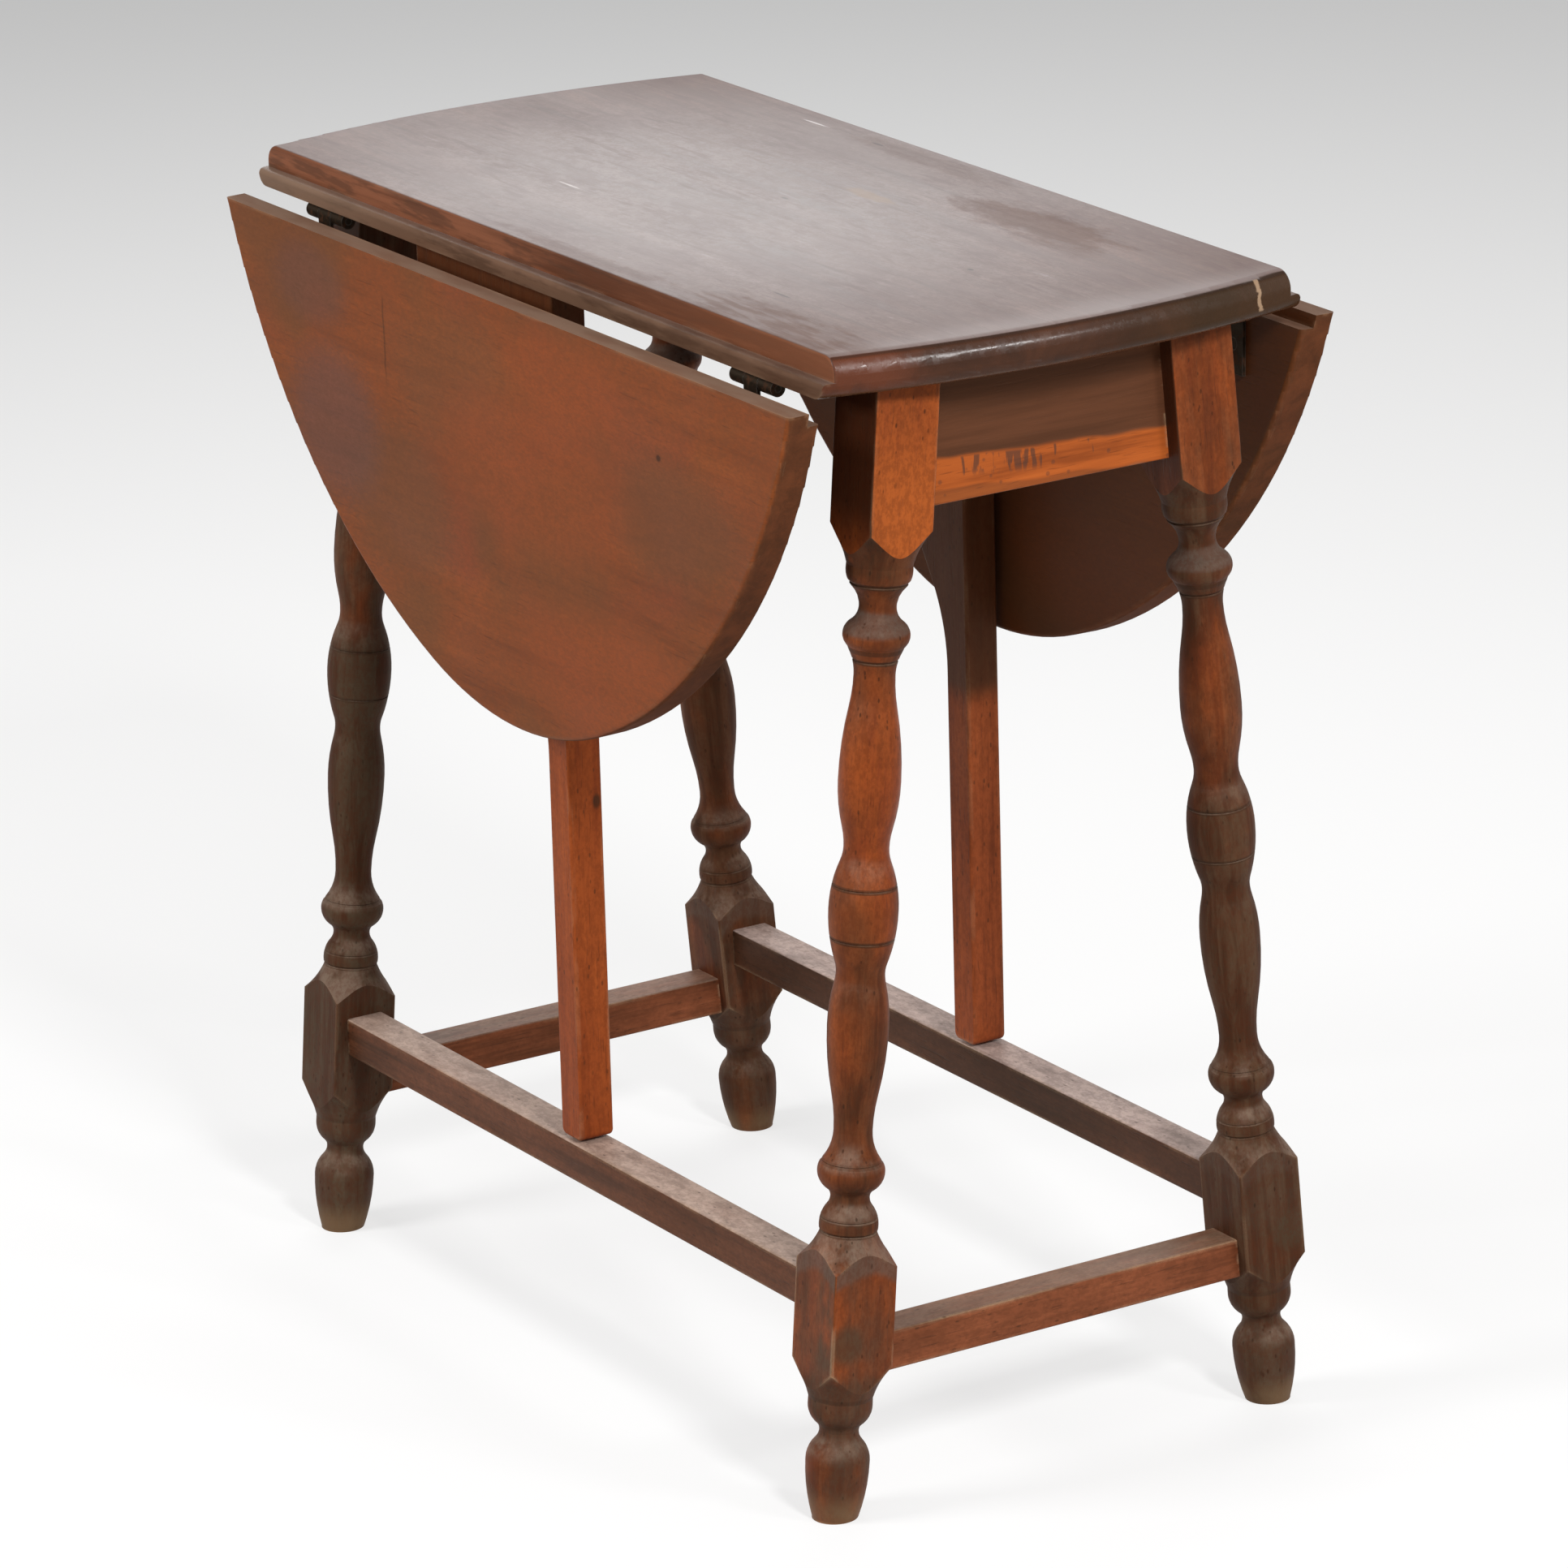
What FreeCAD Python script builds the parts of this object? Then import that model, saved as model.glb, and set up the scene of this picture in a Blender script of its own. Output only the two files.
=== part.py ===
import FreeCAD, Part
import math
import os
import Sketcher

# A small drop-leaf side table on four splayed, turned legs.
# Millimetres. The origin is on the floor under the middle of the table.
# +X runs along the hinge lines to the right end, -Y is the front leaf, +Z is up.

SIZE_LIST = [
    # the fixed top
    ("table_height", 610.0),
    ("top_thick", 21.0),
    ("top_length", 592.0),
    ("top_end_radius", 575.0),
    ("top_wall_width", 269.4),
    ("lip_reach", 6.5),
    ("lip_height", 8.5),
    ("lip_round", 3.0),
    ("end_round_upper", 9.5),
    ("end_round_lower", 7.0),
    ("arris_round", 1.5),
    # the pin line of the leaf hinges
    ("pin_drop", 4.7),
    ("pin_set_out", 1.0),
    # the leaves
    ("leaf_thick", 19.0),
    ("leaf_lip_thick", 11.7),
    ("leaf_drop", 227.5),
    ("leaf_round", 2.5),
    ("leaf_lean_angle", 1.1),
    ("joint_gap", 0.3),
    ("lip_gap", 0.8),
    # the legs
    ("leg_side", 37.0),
    ("leg_end_inset", 44.0),
    ("leg_top_inset", 48.8),
    ("foot_turning", 84.32),
    ("low_block", 49.23),
    ("high_block", 74.8),
    ("score_reach", 2.0),
    ("leg_arris_round", 1.0),
    # the rails between the legs
    ("apron_depth", 69.0),
    ("apron_thick", 20.0),
    ("apron_set_back", 10.0),
    ("apron_tenon_thick", 8.0),
    ("apron_tenon_shoulder", 12.0),
    ("apron_tenon_long", 13.0),
    ("stretcher_high", 21.0),
    ("stretcher_wide", 22.0),
    ("rail_tenon_thick", 8.0),
    ("rail_tenon_high", 12.0),
    ("rail_tenon_long", 12.0),
    ("end_stretcher_rise", 1.8),
    ("side_stretcher_drop", 17.5),
    ("side_stretcher_inset", 11.0),
    ("tenon_gap", 0.1),
    ("rail_arris_round", 1.2),
    ("apron_arris_round", 0.8),
    # the blocks glued behind the end aprons
    ("glue_block_side", 18.0),
    ("glue_block_long", 40.0),
    ("glue_block_inset", 12.0),
    # the swing brackets
    ("bracket_thick", 20.0),
    ("bar_wide", 20.0),
    ("bracket_round", 1.5),
    ("bracket_inset", 1.0),
    ("bracket_reach", 137.0),
    ("bracket_shift", 2.0),
    ("bar_gap_low", 1.5),
    ("bar_gap_top", 0.5),
    ("bar_toe_round", 4.0),
    ("wing_side", 28.33),
    ("flare_bend_radius", 90.0),
    ("flare_angle", 31.0),
    ("tip_round", 16.0),
    ("pivot_radius", 4.5),
    ("pivot_in_bar", 14.0),
    ("pivot_in_rail", 11.0),
    ("pivot_clear", 0.08),
    ("pivot_end_gap", 0.3),
    # the leaf hinges
    ("hinge_leg_gap", 3.5),
    ("hinge_wide", 38.0),
    ("plate_thick", 2.0),
    ("plate_long", 34.0),
    ("barrel_radius", 4.2),
    ("hinge_pin_radius", 1.8),
    ("hinge_pin_clear", 0.06),
    ("knuckle_gap", 0.4),
    ("strap_clear", 0.5),
    # the hinge screws
    ("screw_head_radius", 3.4),
    ("screw_head_deep", 1.5),
    ("screw_shank_radius", 1.6),
    ("screw_long", 12.0),
    ("screw_spread", 22.0),
    ("screw_set_back", 24.0),
    ("screw_clear", 0.05),
    # one overrun for all cuts
    ("cut_over", 10.0),
]

# The turned leg, as shares. Each row is a peak or a hollow of the turning:
# height as a share of the turned length, radius as a share of the leg's side, and the
# share of the curve up to the next row that this row's own arc takes.
TURNING_shares = [
    (0.0563, 0.405, 0.67),
    (0.0944, 0.268, 0.34),
    (0.1298, 0.462, 0.25),
    (0.1850, 0.265, 0.35),
    (0.3293, 0.419, 0.78),
    (0.4002, 0.332, 0.16),
    (0.4842, 0.473, 0.77),
    (0.5682, 0.308, 0.30),
    (0.6575, 0.424, 0.69),
    (0.7992, 0.280, 0.50),
]
# The fillet under the upper ring: height share, lower and upper radius shares, and its height.
FILLET_share, FILLET_low_share, FILLET_high_share, FILLET_step_share = 0.8321, 0.365, 0.385, 0.0052
RINGS_shares = [
    (0.8518, 0.454, 0.45),
    (0.8898, 0.252, 0.52),
    (0.9384, 0.451, 0.50),
]
LOW_SHOULDER_shares = (0.0458, 0.392)
HIGH_SHOULDER_shares = (0.9463, 0.446)
COVE_sag_share = 0.065
# The lines scored round the leg: height share, and the radius share of the bottom. From the
# floor up they lie at the low collar, the low ring, the barrel, the high ring and the high collar.
SCORE_shares = [
    (0.0484, 0.376),
    (0.0667, 0.378),
    (0.1439, 0.395),
    (0.4474, 0.428),
    (0.5183, 0.425),
    (0.8190, 0.290),
    (0.9210, 0.378),
]
# The foot, as shares of its own turned length.
FOOT_toe_share = 0.316
FOOT_shares = [
    (0.3600, 0.441, 0.65),
    (0.5500, 0.270, 0.31),
    (0.7100, 0.444, 0.50),
]
FOOT_SHOULDER_shares = (0.7600, 0.441)
BLANK_corner_share = 0.745
# The leaf's two curves, as shares of half the hinge line's length.
LEAF_toe_share, LEAF_flank_share = 0.7857, 1.2321
# How closely two places must agree to count as one.
SAME_PLACE = 1e-6

doc = FreeCAD.newDocument("DropLeafSideTable")
sheet = doc.addObject("Spreadsheet::Sheet", "Sizes")
for row, (name, number) in enumerate(SIZE_LIST, start=1):
    sheet.set("A%d" % row, name)
    sheet.set("B%d" % row, "%g" % number)
    sheet.setAlias("B%d" % row, name)
doc.recompute()


class Size:
    """A number together with the sheet formula that gives it."""

    def __init__(self, number, formula):
        self.number = float(number)
        self.formula = formula

    def __float__(self):
        return self.number

    def __add__(self, other):
        other = size(other)
        return Size(self.number + other.number, "(%s + %s)" % (self.formula, other.formula))

    def __radd__(self, other):
        return size(other) + self

    def __sub__(self, other):
        other = size(other)
        return Size(self.number - other.number, "(%s - %s)" % (self.formula, other.formula))

    def __rsub__(self, other):
        return size(other) - self

    def __mul__(self, other):
        other = size(other)
        return Size(self.number * other.number, "(%s * %s)" % (self.formula, other.formula))

    def __rmul__(self, other):
        return size(other) * self

    def __truediv__(self, other):
        other = size(other)
        return Size(self.number / other.number, "(%s / %s)" % (self.formula, other.formula))

    def __neg__(self):
        return Size(-self.number, "(0 - %s)" % self.formula)


def size(thing):
    if isinstance(thing, Size):
        return thing
    return Size(thing, "%.6g" % thing if thing >= 0 else "(0 - %.6g)" % -thing)


def get(name):
    return Size(sheet.get(name), "Sizes." + name)


def root(q):
    return Size(math.sqrt(q.number), "sqrt(%s)" % q.formula)


def sine(q):
    return Size(math.sin(math.radians(q.number)), "sin(%s)" % q.formula)


def cosine(q):
    return Size(math.cos(math.radians(q.number)), "cos(%s)" % q.formula)


def tangent(q):
    return Size(math.tan(math.radians(q.number)), "tan(%s)" % q.formula)


def angle_of(q):
    """The angle in degrees whose tangent is given."""
    return Size(math.degrees(math.atan(q.number)), "(atan(%s) / 1 deg)" % q.formula)


def bind(thing, prop, q):
    """Tie one property to the sheet, and set its number at once."""
    q = size(q)
    thing.setExpression(prop, q.formula)


def seat(thing, x=0, y=0, z=0, turn=(0, 0, 0)):
    """Tie a placement to the sheet: place, then yaw, pitch and roll in degrees."""
    x, y, z = size(x), size(y), size(z)
    yaw, pitch, roll = (size(a) for a in turn)
    thing.setExpression("Placement", "placement(vector(%s; %s; %s); rotation(%s; %s; %s))" % (
        x.formula, y.formula, z.formula, yaw.formula, pitch.formula, roll.formula))


def new_body(label):
    body = doc.addObject("PartDesign::Body", label)
    body.Label = label
    return body


def origin_plane(body, role):
    return [item for item in body.Origin.OriginFeatures if item.Role == role][0]


def new_sketch(body, name, role, lift=None):
    sketch = body.newObject("Sketcher::SketchObject", name)
    sketch.AttachmentSupport = (origin_plane(body, role), "")
    sketch.MapMode = "FlatFace"
    if lift is not None:
        sketch.setExpression("AttachmentOffset.Base.z", size(lift).formula)
    return sketch


class Outline:
    """A closed outline in a sketch: corners, lines and arcs, all dimensioned from the sheet."""

    def __init__(self, sketch):
        self.sketch = sketch
        self.ends = []

    def fix(self, kind, *refs_and_size):
        refs, q = refs_and_size[:-1], refs_and_size[-1]
        index = self.sketch.addConstraint(Sketcher.Constraint(kind, *refs, q.number))
        self.sketch.setExpression("Constraints[%d]" % index, q.formula)

    def locate(self, geo, pos, point):
        """Dimension one end from the sketch's origin."""
        x, y = size(point[0]), size(point[1])
        for q, kind, axis in ((x, "DistanceX", -2), (y, "DistanceY", -1)):
            if q.number == 0:
                self.sketch.addConstraint(Sketcher.Constraint("PointOnObject", geo, pos, axis))
            else:
                self.fix(kind, -1, 1, geo, pos, q)

    def join(self, geo, start, end, smooth=False):
        """Chain a piece to the one before it."""
        if self.ends:
            before = self.ends[-1]
            kind = "Tangent" if smooth else "Coincident"
            self.sketch.addConstraint(Sketcher.Constraint(kind, before[0], before[2], geo, start))
        self.ends.append((geo, start, end))

    def line(self, a, b, smooth=False):
        va = FreeCAD.Vector(float(a[0]), float(a[1]), 0)
        vb = FreeCAD.Vector(float(b[0]), float(b[1]), 0)
        geo = self.sketch.addGeometry(Part.LineSegment(va, vb), False)
        self.join(geo, 1, 2, smooth)
        return geo

    def arc(self, a, b, centre, smooth=False):
        """The shorter arc from a to b about a centre, given as numbers or sizes."""
        ax, ay = float(a[0]), float(a[1])
        bx, by = float(b[0]), float(b[1])
        cx, cy = float(centre[0]), float(centre[1])
        radius = math.hypot(ax - cx, ay - cy)
        circle = Part.Circle(FreeCAD.Vector(cx, cy, 0), FreeCAD.Vector(0, 0, 1), radius)
        from_a = math.atan2(ay - cy, ax - cx)
        from_b = math.atan2(by - cy, bx - cx)
        forward = (ax - cx) * (by - cy) - (ay - cy) * (bx - cx) > 0
        first, second = (from_a, from_b) if forward else (from_b, from_a)
        while second < first:
            second += 2 * math.pi
        geo = self.sketch.addGeometry(Part.ArcOfCircle(circle, first, second), False)
        start, end = (1, 2) if forward else (2, 1)
        self.join(geo, start, end, smooth)
        return geo, start, end

    def close(self):
        first, last = self.ends[0], self.ends[-1]
        self.sketch.addConstraint(Sketcher.Constraint("Coincident", last[0], last[2], first[0], first[1]))
        if self.sketch.solve() != 0:
            raise RuntimeError("sketch %s does not solve" % self.sketch.Name)


def polygon(sketch, points):
    outline = Outline(sketch)
    for here, there in zip(points, points[1:] + points[:1]):
        geo = outline.line(here, there)
        outline.locate(geo, 1, here)
    outline.close()
    return outline


def pad(body, name, sketch, length, symmetric=True, back=False):
    feature = body.newObject("PartDesign::Pad", name)
    feature.Profile = sketch
    bind(feature, "Length", length)
    if symmetric:
        feature.SideType = "Symmetric"
    feature.Reversed = back
    sketch.Visibility = False
    return feature


def box(body, name, x, y, z, dx, dy, dz, cut=False, turn=(0, 0, 0)):
    """A box feature with its low corner at x, y, z."""
    kind = "PartDesign::SubtractiveBox" if cut else "PartDesign::AdditiveBox"
    feature = body.newObject(kind, name)
    bind(feature, "Length", dx)
    bind(feature, "Width", dy)
    bind(feature, "Height", dz)
    seat(feature, x, y, z, turn)
    return feature


def drill(body, name, x, y, z, radius, deep, turn=(0, 0, 0)):
    """A round hole that starts at x, y, z and runs along the turned +Z."""
    feature = body.newObject("PartDesign::SubtractiveCylinder", name)
    bind(feature, "Radius", radius)
    bind(feature, "Height", deep)
    seat(feature, x, y, z, turn)
    return feature


def round_edges(body, name, base, radius, wanted):
    """Round those edges of a feature that the test picks."""
    names = ["Edge%d" % index for index, edge in enumerate(base.Shape.Edges, start=1) if wanted(edge)]
    if not names:
        raise RuntimeError("%s finds no edge" % name)
    feature = body.newObject("PartDesign::Fillet", name)
    feature.Base = (base, names)
    bind(feature, "Radius", radius)
    doc.recompute()
    return feature


over = get("cut_over")
top_thick = get("top_thick")
underside = get("table_height") - top_thick
wall = get("top_wall_width") / 2
lip = wall + get("lip_reach")
pin_y = wall + get("pin_set_out")
pin_z = underside - get("pin_drop")

# The top board: bowed ends with a rounded nose, and a rule-joint ledge along each side.

crown = get("top_length") / 2
bow_centre = crown - get("top_end_radius")
lip_corner = bow_centre + root(get("top_end_radius") * get("top_end_radius") - lip * lip)
wall_corner = bow_centre + root(get("top_end_radius") * get("top_end_radius") - wall * wall)


def make_top():
    body = new_body("top_board")
    plan = new_sketch(body, "top_plan", "XY_Plane")
    outline = Outline(plan)
    corners = [(-lip_corner, -lip), (lip_corner, -lip), (lip_corner, lip), (-lip_corner, lip)]
    front = outline.line(corners[0], corners[1])
    right, right_start, right_end = outline.arc(corners[1], corners[2], (bow_centre, 0))
    rear = outline.line(corners[2], corners[3])
    left, left_start, left_end = outline.arc(corners[3], corners[0], (-bow_centre, 0))
    outline.close()
    for geo, start, end, centre in ((right, right_start, right_end, bow_centre),
                                    (left, left_start, left_end, -bow_centre)):
        plan.addConstraint(Sketcher.Constraint("PointOnObject", geo, 3, -1))
        outline.fix("DistanceX", -1, 1, geo, 3, centre)
    outline.fix("Radius", right, get("top_end_radius"))
    outline.fix("Radius", left, get("top_end_radius"))
    outline.fix("DistanceY", -1, 1, front, 1, -lip)
    outline.fix("DistanceY", -1, 1, rear, 1, lip)
    plan.addConstraint(Sketcher.Constraint("Horizontal", front))
    plan.addConstraint(Sketcher.Constraint("Horizontal", rear))
    slab = pad(body, "top_slab", plan, top_thick, symmetric=False)
    doc.recompute()

    def bowed_at(level):
        """Picks the bowed edges of both ends at one level."""
        def wanted(edge):
            low, high = edge.BoundBox.ZMin, edge.BoundBox.ZMax
            flat = abs(low - level) < SAME_PLACE and abs(high - level) < SAME_PLACE
            return edge.Curve.TypeId == "Part::GeomCircle" and flat
        return wanted

    upper = round_edges(body, "end_rounds_upper", slab, get("end_round_upper"), bowed_at(top_thick.number))
    round_edges(body, "end_rounds_lower", upper, get("end_round_lower"), bowed_at(0))

    ledge = get("lip_height")
    lip_in = lip - get("lip_round")
    lip_low = ledge - get("lip_round")
    for side, sign in (("front", -1), ("rear", 1)):
        section = new_sketch(body, "ledge_" + side, "YZ_Plane")
        shape = Outline(section)
        outside, above = (lip + over) * sign, top_thick + over
        points = [(wall * sign, above), (wall * sign, ledge), (lip_in * sign, ledge),
                  (lip * sign, lip_low), (outside, lip_low), (outside, above)]
        for number, here in enumerate(points):
            there = points[(number + 1) % len(points)]
            if number == 2:
                geo, start, _ = shape.arc(here, there, (lip_in * sign, lip_low))
                section.addConstraint(Sketcher.Constraint("Vertical", geo, start, geo, 3))
            else:
                geo, start = shape.line(here, there), 1
            shape.locate(geo, start, here)
        shape.close()
        before = body.Shape.Volume
        cut = body.newObject("PartDesign::Pocket", "rebate_" + side)
        cut.Profile = section
        cut.SideType = "Symmetric"
        bind(cut, "Length", get("top_length") + over)
        doc.recompute()
        if not cut.Shape.Volume < before:
            raise RuntimeError("the rebate cuts nothing")

    def long_arris(edge):
        bounds = edge.BoundBox
        along = edge.Curve.TypeId == "Part::GeomLine" and bounds.XLength > crown.number
        return along and abs(bounds.ZMax - top_thick.number) < SAME_PLACE and bounds.ZLength < SAME_PLACE

    round_edges(body, "long_arrises", body.Tip, get("arris_round"), long_arris)

    reach = get("screw_long") + get("screw_clear")
    for sx, end in ((-1, "left"), (1, "right")):
        for sy, side in ((-1, "front"), (1, "rear")):
            for step, tag in ((-1, "a"), (1, "b")):
                drill(body, "pilot_%s_%s_%s" % (side, end, tag),
                      hinge_x * sx + get("screw_spread") / 2 * step,
                      (pin_y - get("screw_set_back")) * sy, -over,
                      get("screw_shank_radius") + get("screw_clear"), reach + over - get("plate_thick"))
    for sign, side in ((-1, "front"), (1, "rear")):
        drill(body, "pivot_hole_" + side, get("bracket_shift"), bracket_y * sign, -over,
              get("pivot_radius") + get("pivot_clear"), over + get("pivot_in_rail"))
    seat(body, 0, 0, underside)
    return body


# The legs. Each is a square bar along a splayed axis, turned below, between and above its blocks.

half_side = get("leg_side") / 2
leg_x = crown - get("leg_end_inset")
hinge_x = leg_x - half_side - get("hinge_leg_gap") - get("hinge_wide") / 2

# levels above the floor, upright
low_block_end = get("foot_turning") + get("low_block")
end_rail_z = get("foot_turning") + get("end_stretcher_rise")
side_rail_z = low_block_end - get("side_stretcher_drop")
side_rail_top = side_rail_z + get("stretcher_high") / 2

# the splay: each leg runs from its place under the top down through the line of the side stretcher
leg_top_y = wall - get("leg_top_inset")
side_rail_y = pin_y - get("side_stretcher_inset")
bracket_y = side_rail_y - get("bracket_inset")
lean = angle_of((side_rail_y - leg_top_y) / (underside - side_rail_z))
leg_floor_y = leg_top_y + underside * tangent(lean)

# lengths along the leg's axis
axis_long = underside / cosine(lean)
foot_long = get("foot_turning") / cosine(lean)
turned_low = low_block_end / cosine(lean)
turned_high = axis_long - get("high_block")
turned_long = turned_high - turned_low
blank_radius = get("leg_side") * BLANK_corner_share


def axis_y(level):
    """How far the leg's axis stands from the middle plane at a level above the floor."""
    return leg_floor_y - level * tangent(lean)


def inner_y(level):
    """How far the leg's inner face stands from the middle plane at a level."""
    return axis_y(level) - half_side / cosine(lean)


apron_x = leg_x + half_side - get("apron_set_back") - get("apron_thick") / 2
apron_z = underside - get("apron_depth") / 2
apron_tenon_high = get("apron_depth") - get("apron_tenon_shoulder") * 2


def turning(body, name, pieces):
    """Cut a turned outline into the square bar, from its first level on the axis to its last."""
    sketch = new_sketch(body, name + "_outline", "XZ_Plane")
    outline = Outline(sketch)
    for here, there in zip(pieces, pieces[1:]):
        (kind_a, ra, za, share), (kind_b, rb, zb, _) = here, there
        if kind_a == "corner" and kind_b == "corner":
            geo, pos = outline.line((ra, za), (rb, zb)), 1
        elif kind_a == "cove" or kind_b == "cove":
            # a hollow shoulder between the square block and the turning
            dr, dz = rb - ra, zb - za
            chord = root(dr * dr + dz * dz)
            radius = chord * (1 / (8 * COVE_sag_share) + COVE_sag_share / 2)
            length = chord.number
            offset = radius.number - length * COVE_sag_share
            mid_r, mid_z = (ra.number + rb.number) / 2, (za.number + zb.number) / 2
            side_r, side_z = -dz.number / length, dr.number / length
            if side_r < 0:
                side_r, side_z = -side_r, -side_z
            geo, pos, _ = outline.arc((ra, za), (rb, zb), (mid_r + side_r * offset, mid_z + side_z * offset))
            outline.fix("Radius", geo, radius)
        elif kind_a == "peak" and kind_b == "peak":
            dr, dz = rb - ra, zb - za
            whole = (dr * dr + dz * dz) / (dr * 2)
            # whole is positive where the outline swells upwards and negative where it narrows
            first = whole * share
            second = whole * (1 - share)
            centre_a = (ra.number + first.number, za.number)
            centre_b = (rb.number - second.number, zb.number)
            meet = tuple(a + (b - a) * share for a, b in zip(centre_a, centre_b))
            geo, pos, mid = outline.arc((ra, za), meet, centre_a)
            sketch.addConstraint(Sketcher.Constraint("Horizontal", geo, pos, geo, 3))
            outline.fix("Radius", geo, first if first.number > 0 else -first)
            second_geo, _, end = outline.arc(meet, (rb, zb), centre_b, smooth=True)
            sketch.addConstraint(Sketcher.Constraint("Horizontal", second_geo, end, second_geo, 3))
        else:
            # one arc, with its centre level with the peak or hollow
            dr, dz = rb.number - ra.number, zb.number - za.number
            whole = (dr * dr + dz * dz) / (2 * dr)
            if kind_a == "peak":
                geo, pos, _ = outline.arc((ra, za), (rb, zb), (ra.number + whole, za.number))
                sketch.addConstraint(Sketcher.Constraint("Horizontal", geo, pos, geo, 3))
            else:
                geo, pos, end = outline.arc((ra, za), (rb, zb), (rb.number - whole, zb.number))
                sketch.addConstraint(Sketcher.Constraint("Horizontal", geo, end, geo, 3))
        outline.locate(geo, pos, (ra, za))
    _, r_last, z_last, _ = pieces[-1]
    _, r_first, z_first, _ = pieces[0]
    outside = blank_radius + over
    path = [(r_last, z_last), (outside, z_last), (outside, z_first), (r_first, z_first)]
    for here, there in zip(path, path[1:]):
        geo = outline.line(here, there)
        outline.locate(geo, 1, here)
    outline.close()
    groove = body.newObject("PartDesign::Groove", name)
    groove.Profile = sketch
    groove.ReferenceAxis = (sketch, ["V_Axis"])
    groove.Angle = 360
    doc.recompute()
    return groove


def leg_pieces():
    side = get("leg_side")

    def rows(shares, start, length):
        return [("peak", side * r, start + length * h, bow) for h, r, bow in shares]

    def shoulder(shares, start, length):
        return ("corner", side * shares[1], start + length * shares[0], 0)

    middle = [("cove", blank_radius, turned_low, 0)]
    middle.append(shoulder(LOW_SHOULDER_shares, turned_low, turned_long))
    middle += rows(TURNING_shares, turned_low, turned_long)
    fillet = turned_low + turned_long * FILLET_share
    middle.append(("corner", side * FILLET_low_share, fillet, 0))
    middle.append(("corner", side * FILLET_high_share, fillet + turned_long * FILLET_step_share, 0))
    middle += rows(RINGS_shares, turned_low, turned_long)
    middle.append(shoulder(HIGH_SHOULDER_shares, turned_low, turned_long))
    middle.append(("cove", blank_radius, turned_high, 0))
    low = [("corner", side * FOOT_toe_share, -over, 0), ("corner", side * FOOT_toe_share, size(0), 0)]
    low += rows(FOOT_shares, size(0), foot_long)
    low.append(shoulder(FOOT_SHOULDER_shares, size(0), foot_long))
    low.append(("cove", blank_radius, foot_long, 0))
    return low, middle


def make_leg(label, sx, sy):
    """Drawn as a rear leg; a front leg is the one across the middle, turned half round."""
    body = new_body(label)
    hand = sx * sy
    side = get("leg_side")
    bar = box(body, label + "_bar", -half_side, -half_side, -over, side, side, axis_long + over * 2)
    doc.recompute()
    round_edges(body, label + "_arrises", bar, get("leg_arris_round"),
                lambda edge: edge.BoundBox.ZLength > axis_long.number)

    def upright(name, x, y, z, dx, dy, dz):
        """A cut whose low corner is x, y, z from the leg's foot point, square to the floor."""
        local_y = y * cosine(lean) + z * sine(lean)
        local_z = z * cosine(lean) - y * sine(lean)
        before = body.Shape.Volume
        box(body, label + name, x, local_y, local_z, dx, dy, dz, cut=True, turn=(0, 0, -lean))
        doc.recompute()
        if not body.Shape.Volume < before:
            raise RuntimeError("%s%s cuts nothing" % (label, name))

    wide = side * 3
    upright("_floor_cut", -wide / 2, -wide / 2, -over * 3, wide, wide, over * 3)
    upright("_top_cut", -wide / 2, leg_top_y - leg_floor_y - wide / 2, underside, wide, wide, over * 3)
    low, middle = leg_pieces()
    for name, pieces in (("_foot_turning", low), ("_middle_turning", middle)):
        before = body.Shape.Volume
        turning(body, label + name, pieces)
        if not body.Shape.Volume < before:
            raise RuntimeError("%s%s cuts nothing" % (label, name))
    scores = new_sketch(body, label + "_score_outlines", "XZ_Plane")
    reach = get("score_reach")
    for height, bottom in SCORE_shares:
        level, deep_r = turned_low + turned_long * height, side * bottom
        polygon(scores, [(deep_r, level), (deep_r + reach, level - reach), (deep_r + reach, level + reach)])
    groove = body.newObject("PartDesign::Groove", label + "_scores")
    groove.Profile = scores
    groove.ReferenceAxis = (scores, ["V_Axis"])
    groove.Angle = 360
    doc.recompute()

    gap = get("tenon_gap")
    # mortise for the end apron, in the upper block's inner face
    thick, high = get("apron_tenon_thick") + gap * 2, apron_tenon_high + gap * 2
    deep = get("apron_tenon_long") + gap
    upright("_apron_mortise", (apron_x - leg_x) * hand - thick / 2, inner_y(apron_z) - over - leg_floor_y,
            apron_z - high / 2, thick, deep + over, high)
    # mortise for the end stretcher, in the lower block's inner face
    thick, high = get("rail_tenon_thick") + gap * 2, get("rail_tenon_high") + gap * 2
    deep = get("rail_tenon_long") + gap
    upright("_end_mortise", -thick / 2, inner_y(end_rail_z) - over - leg_floor_y, end_rail_z - high / 2,
            thick, deep + over, high)
    # mortise for the side stretcher, in the face towards the middle of the table
    start = (half_side - deep) if hand < 0 else (-half_side - over)
    upright("_side_mortise", start, side_rail_y - leg_floor_y - thick / 2, side_rail_z - high / 2,
            deep + over, thick, high)
    seat(body, leg_x * sx, leg_floor_y * sy, 0, (180 if sy < 0 else 0, 0, lean))
    return body


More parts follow.
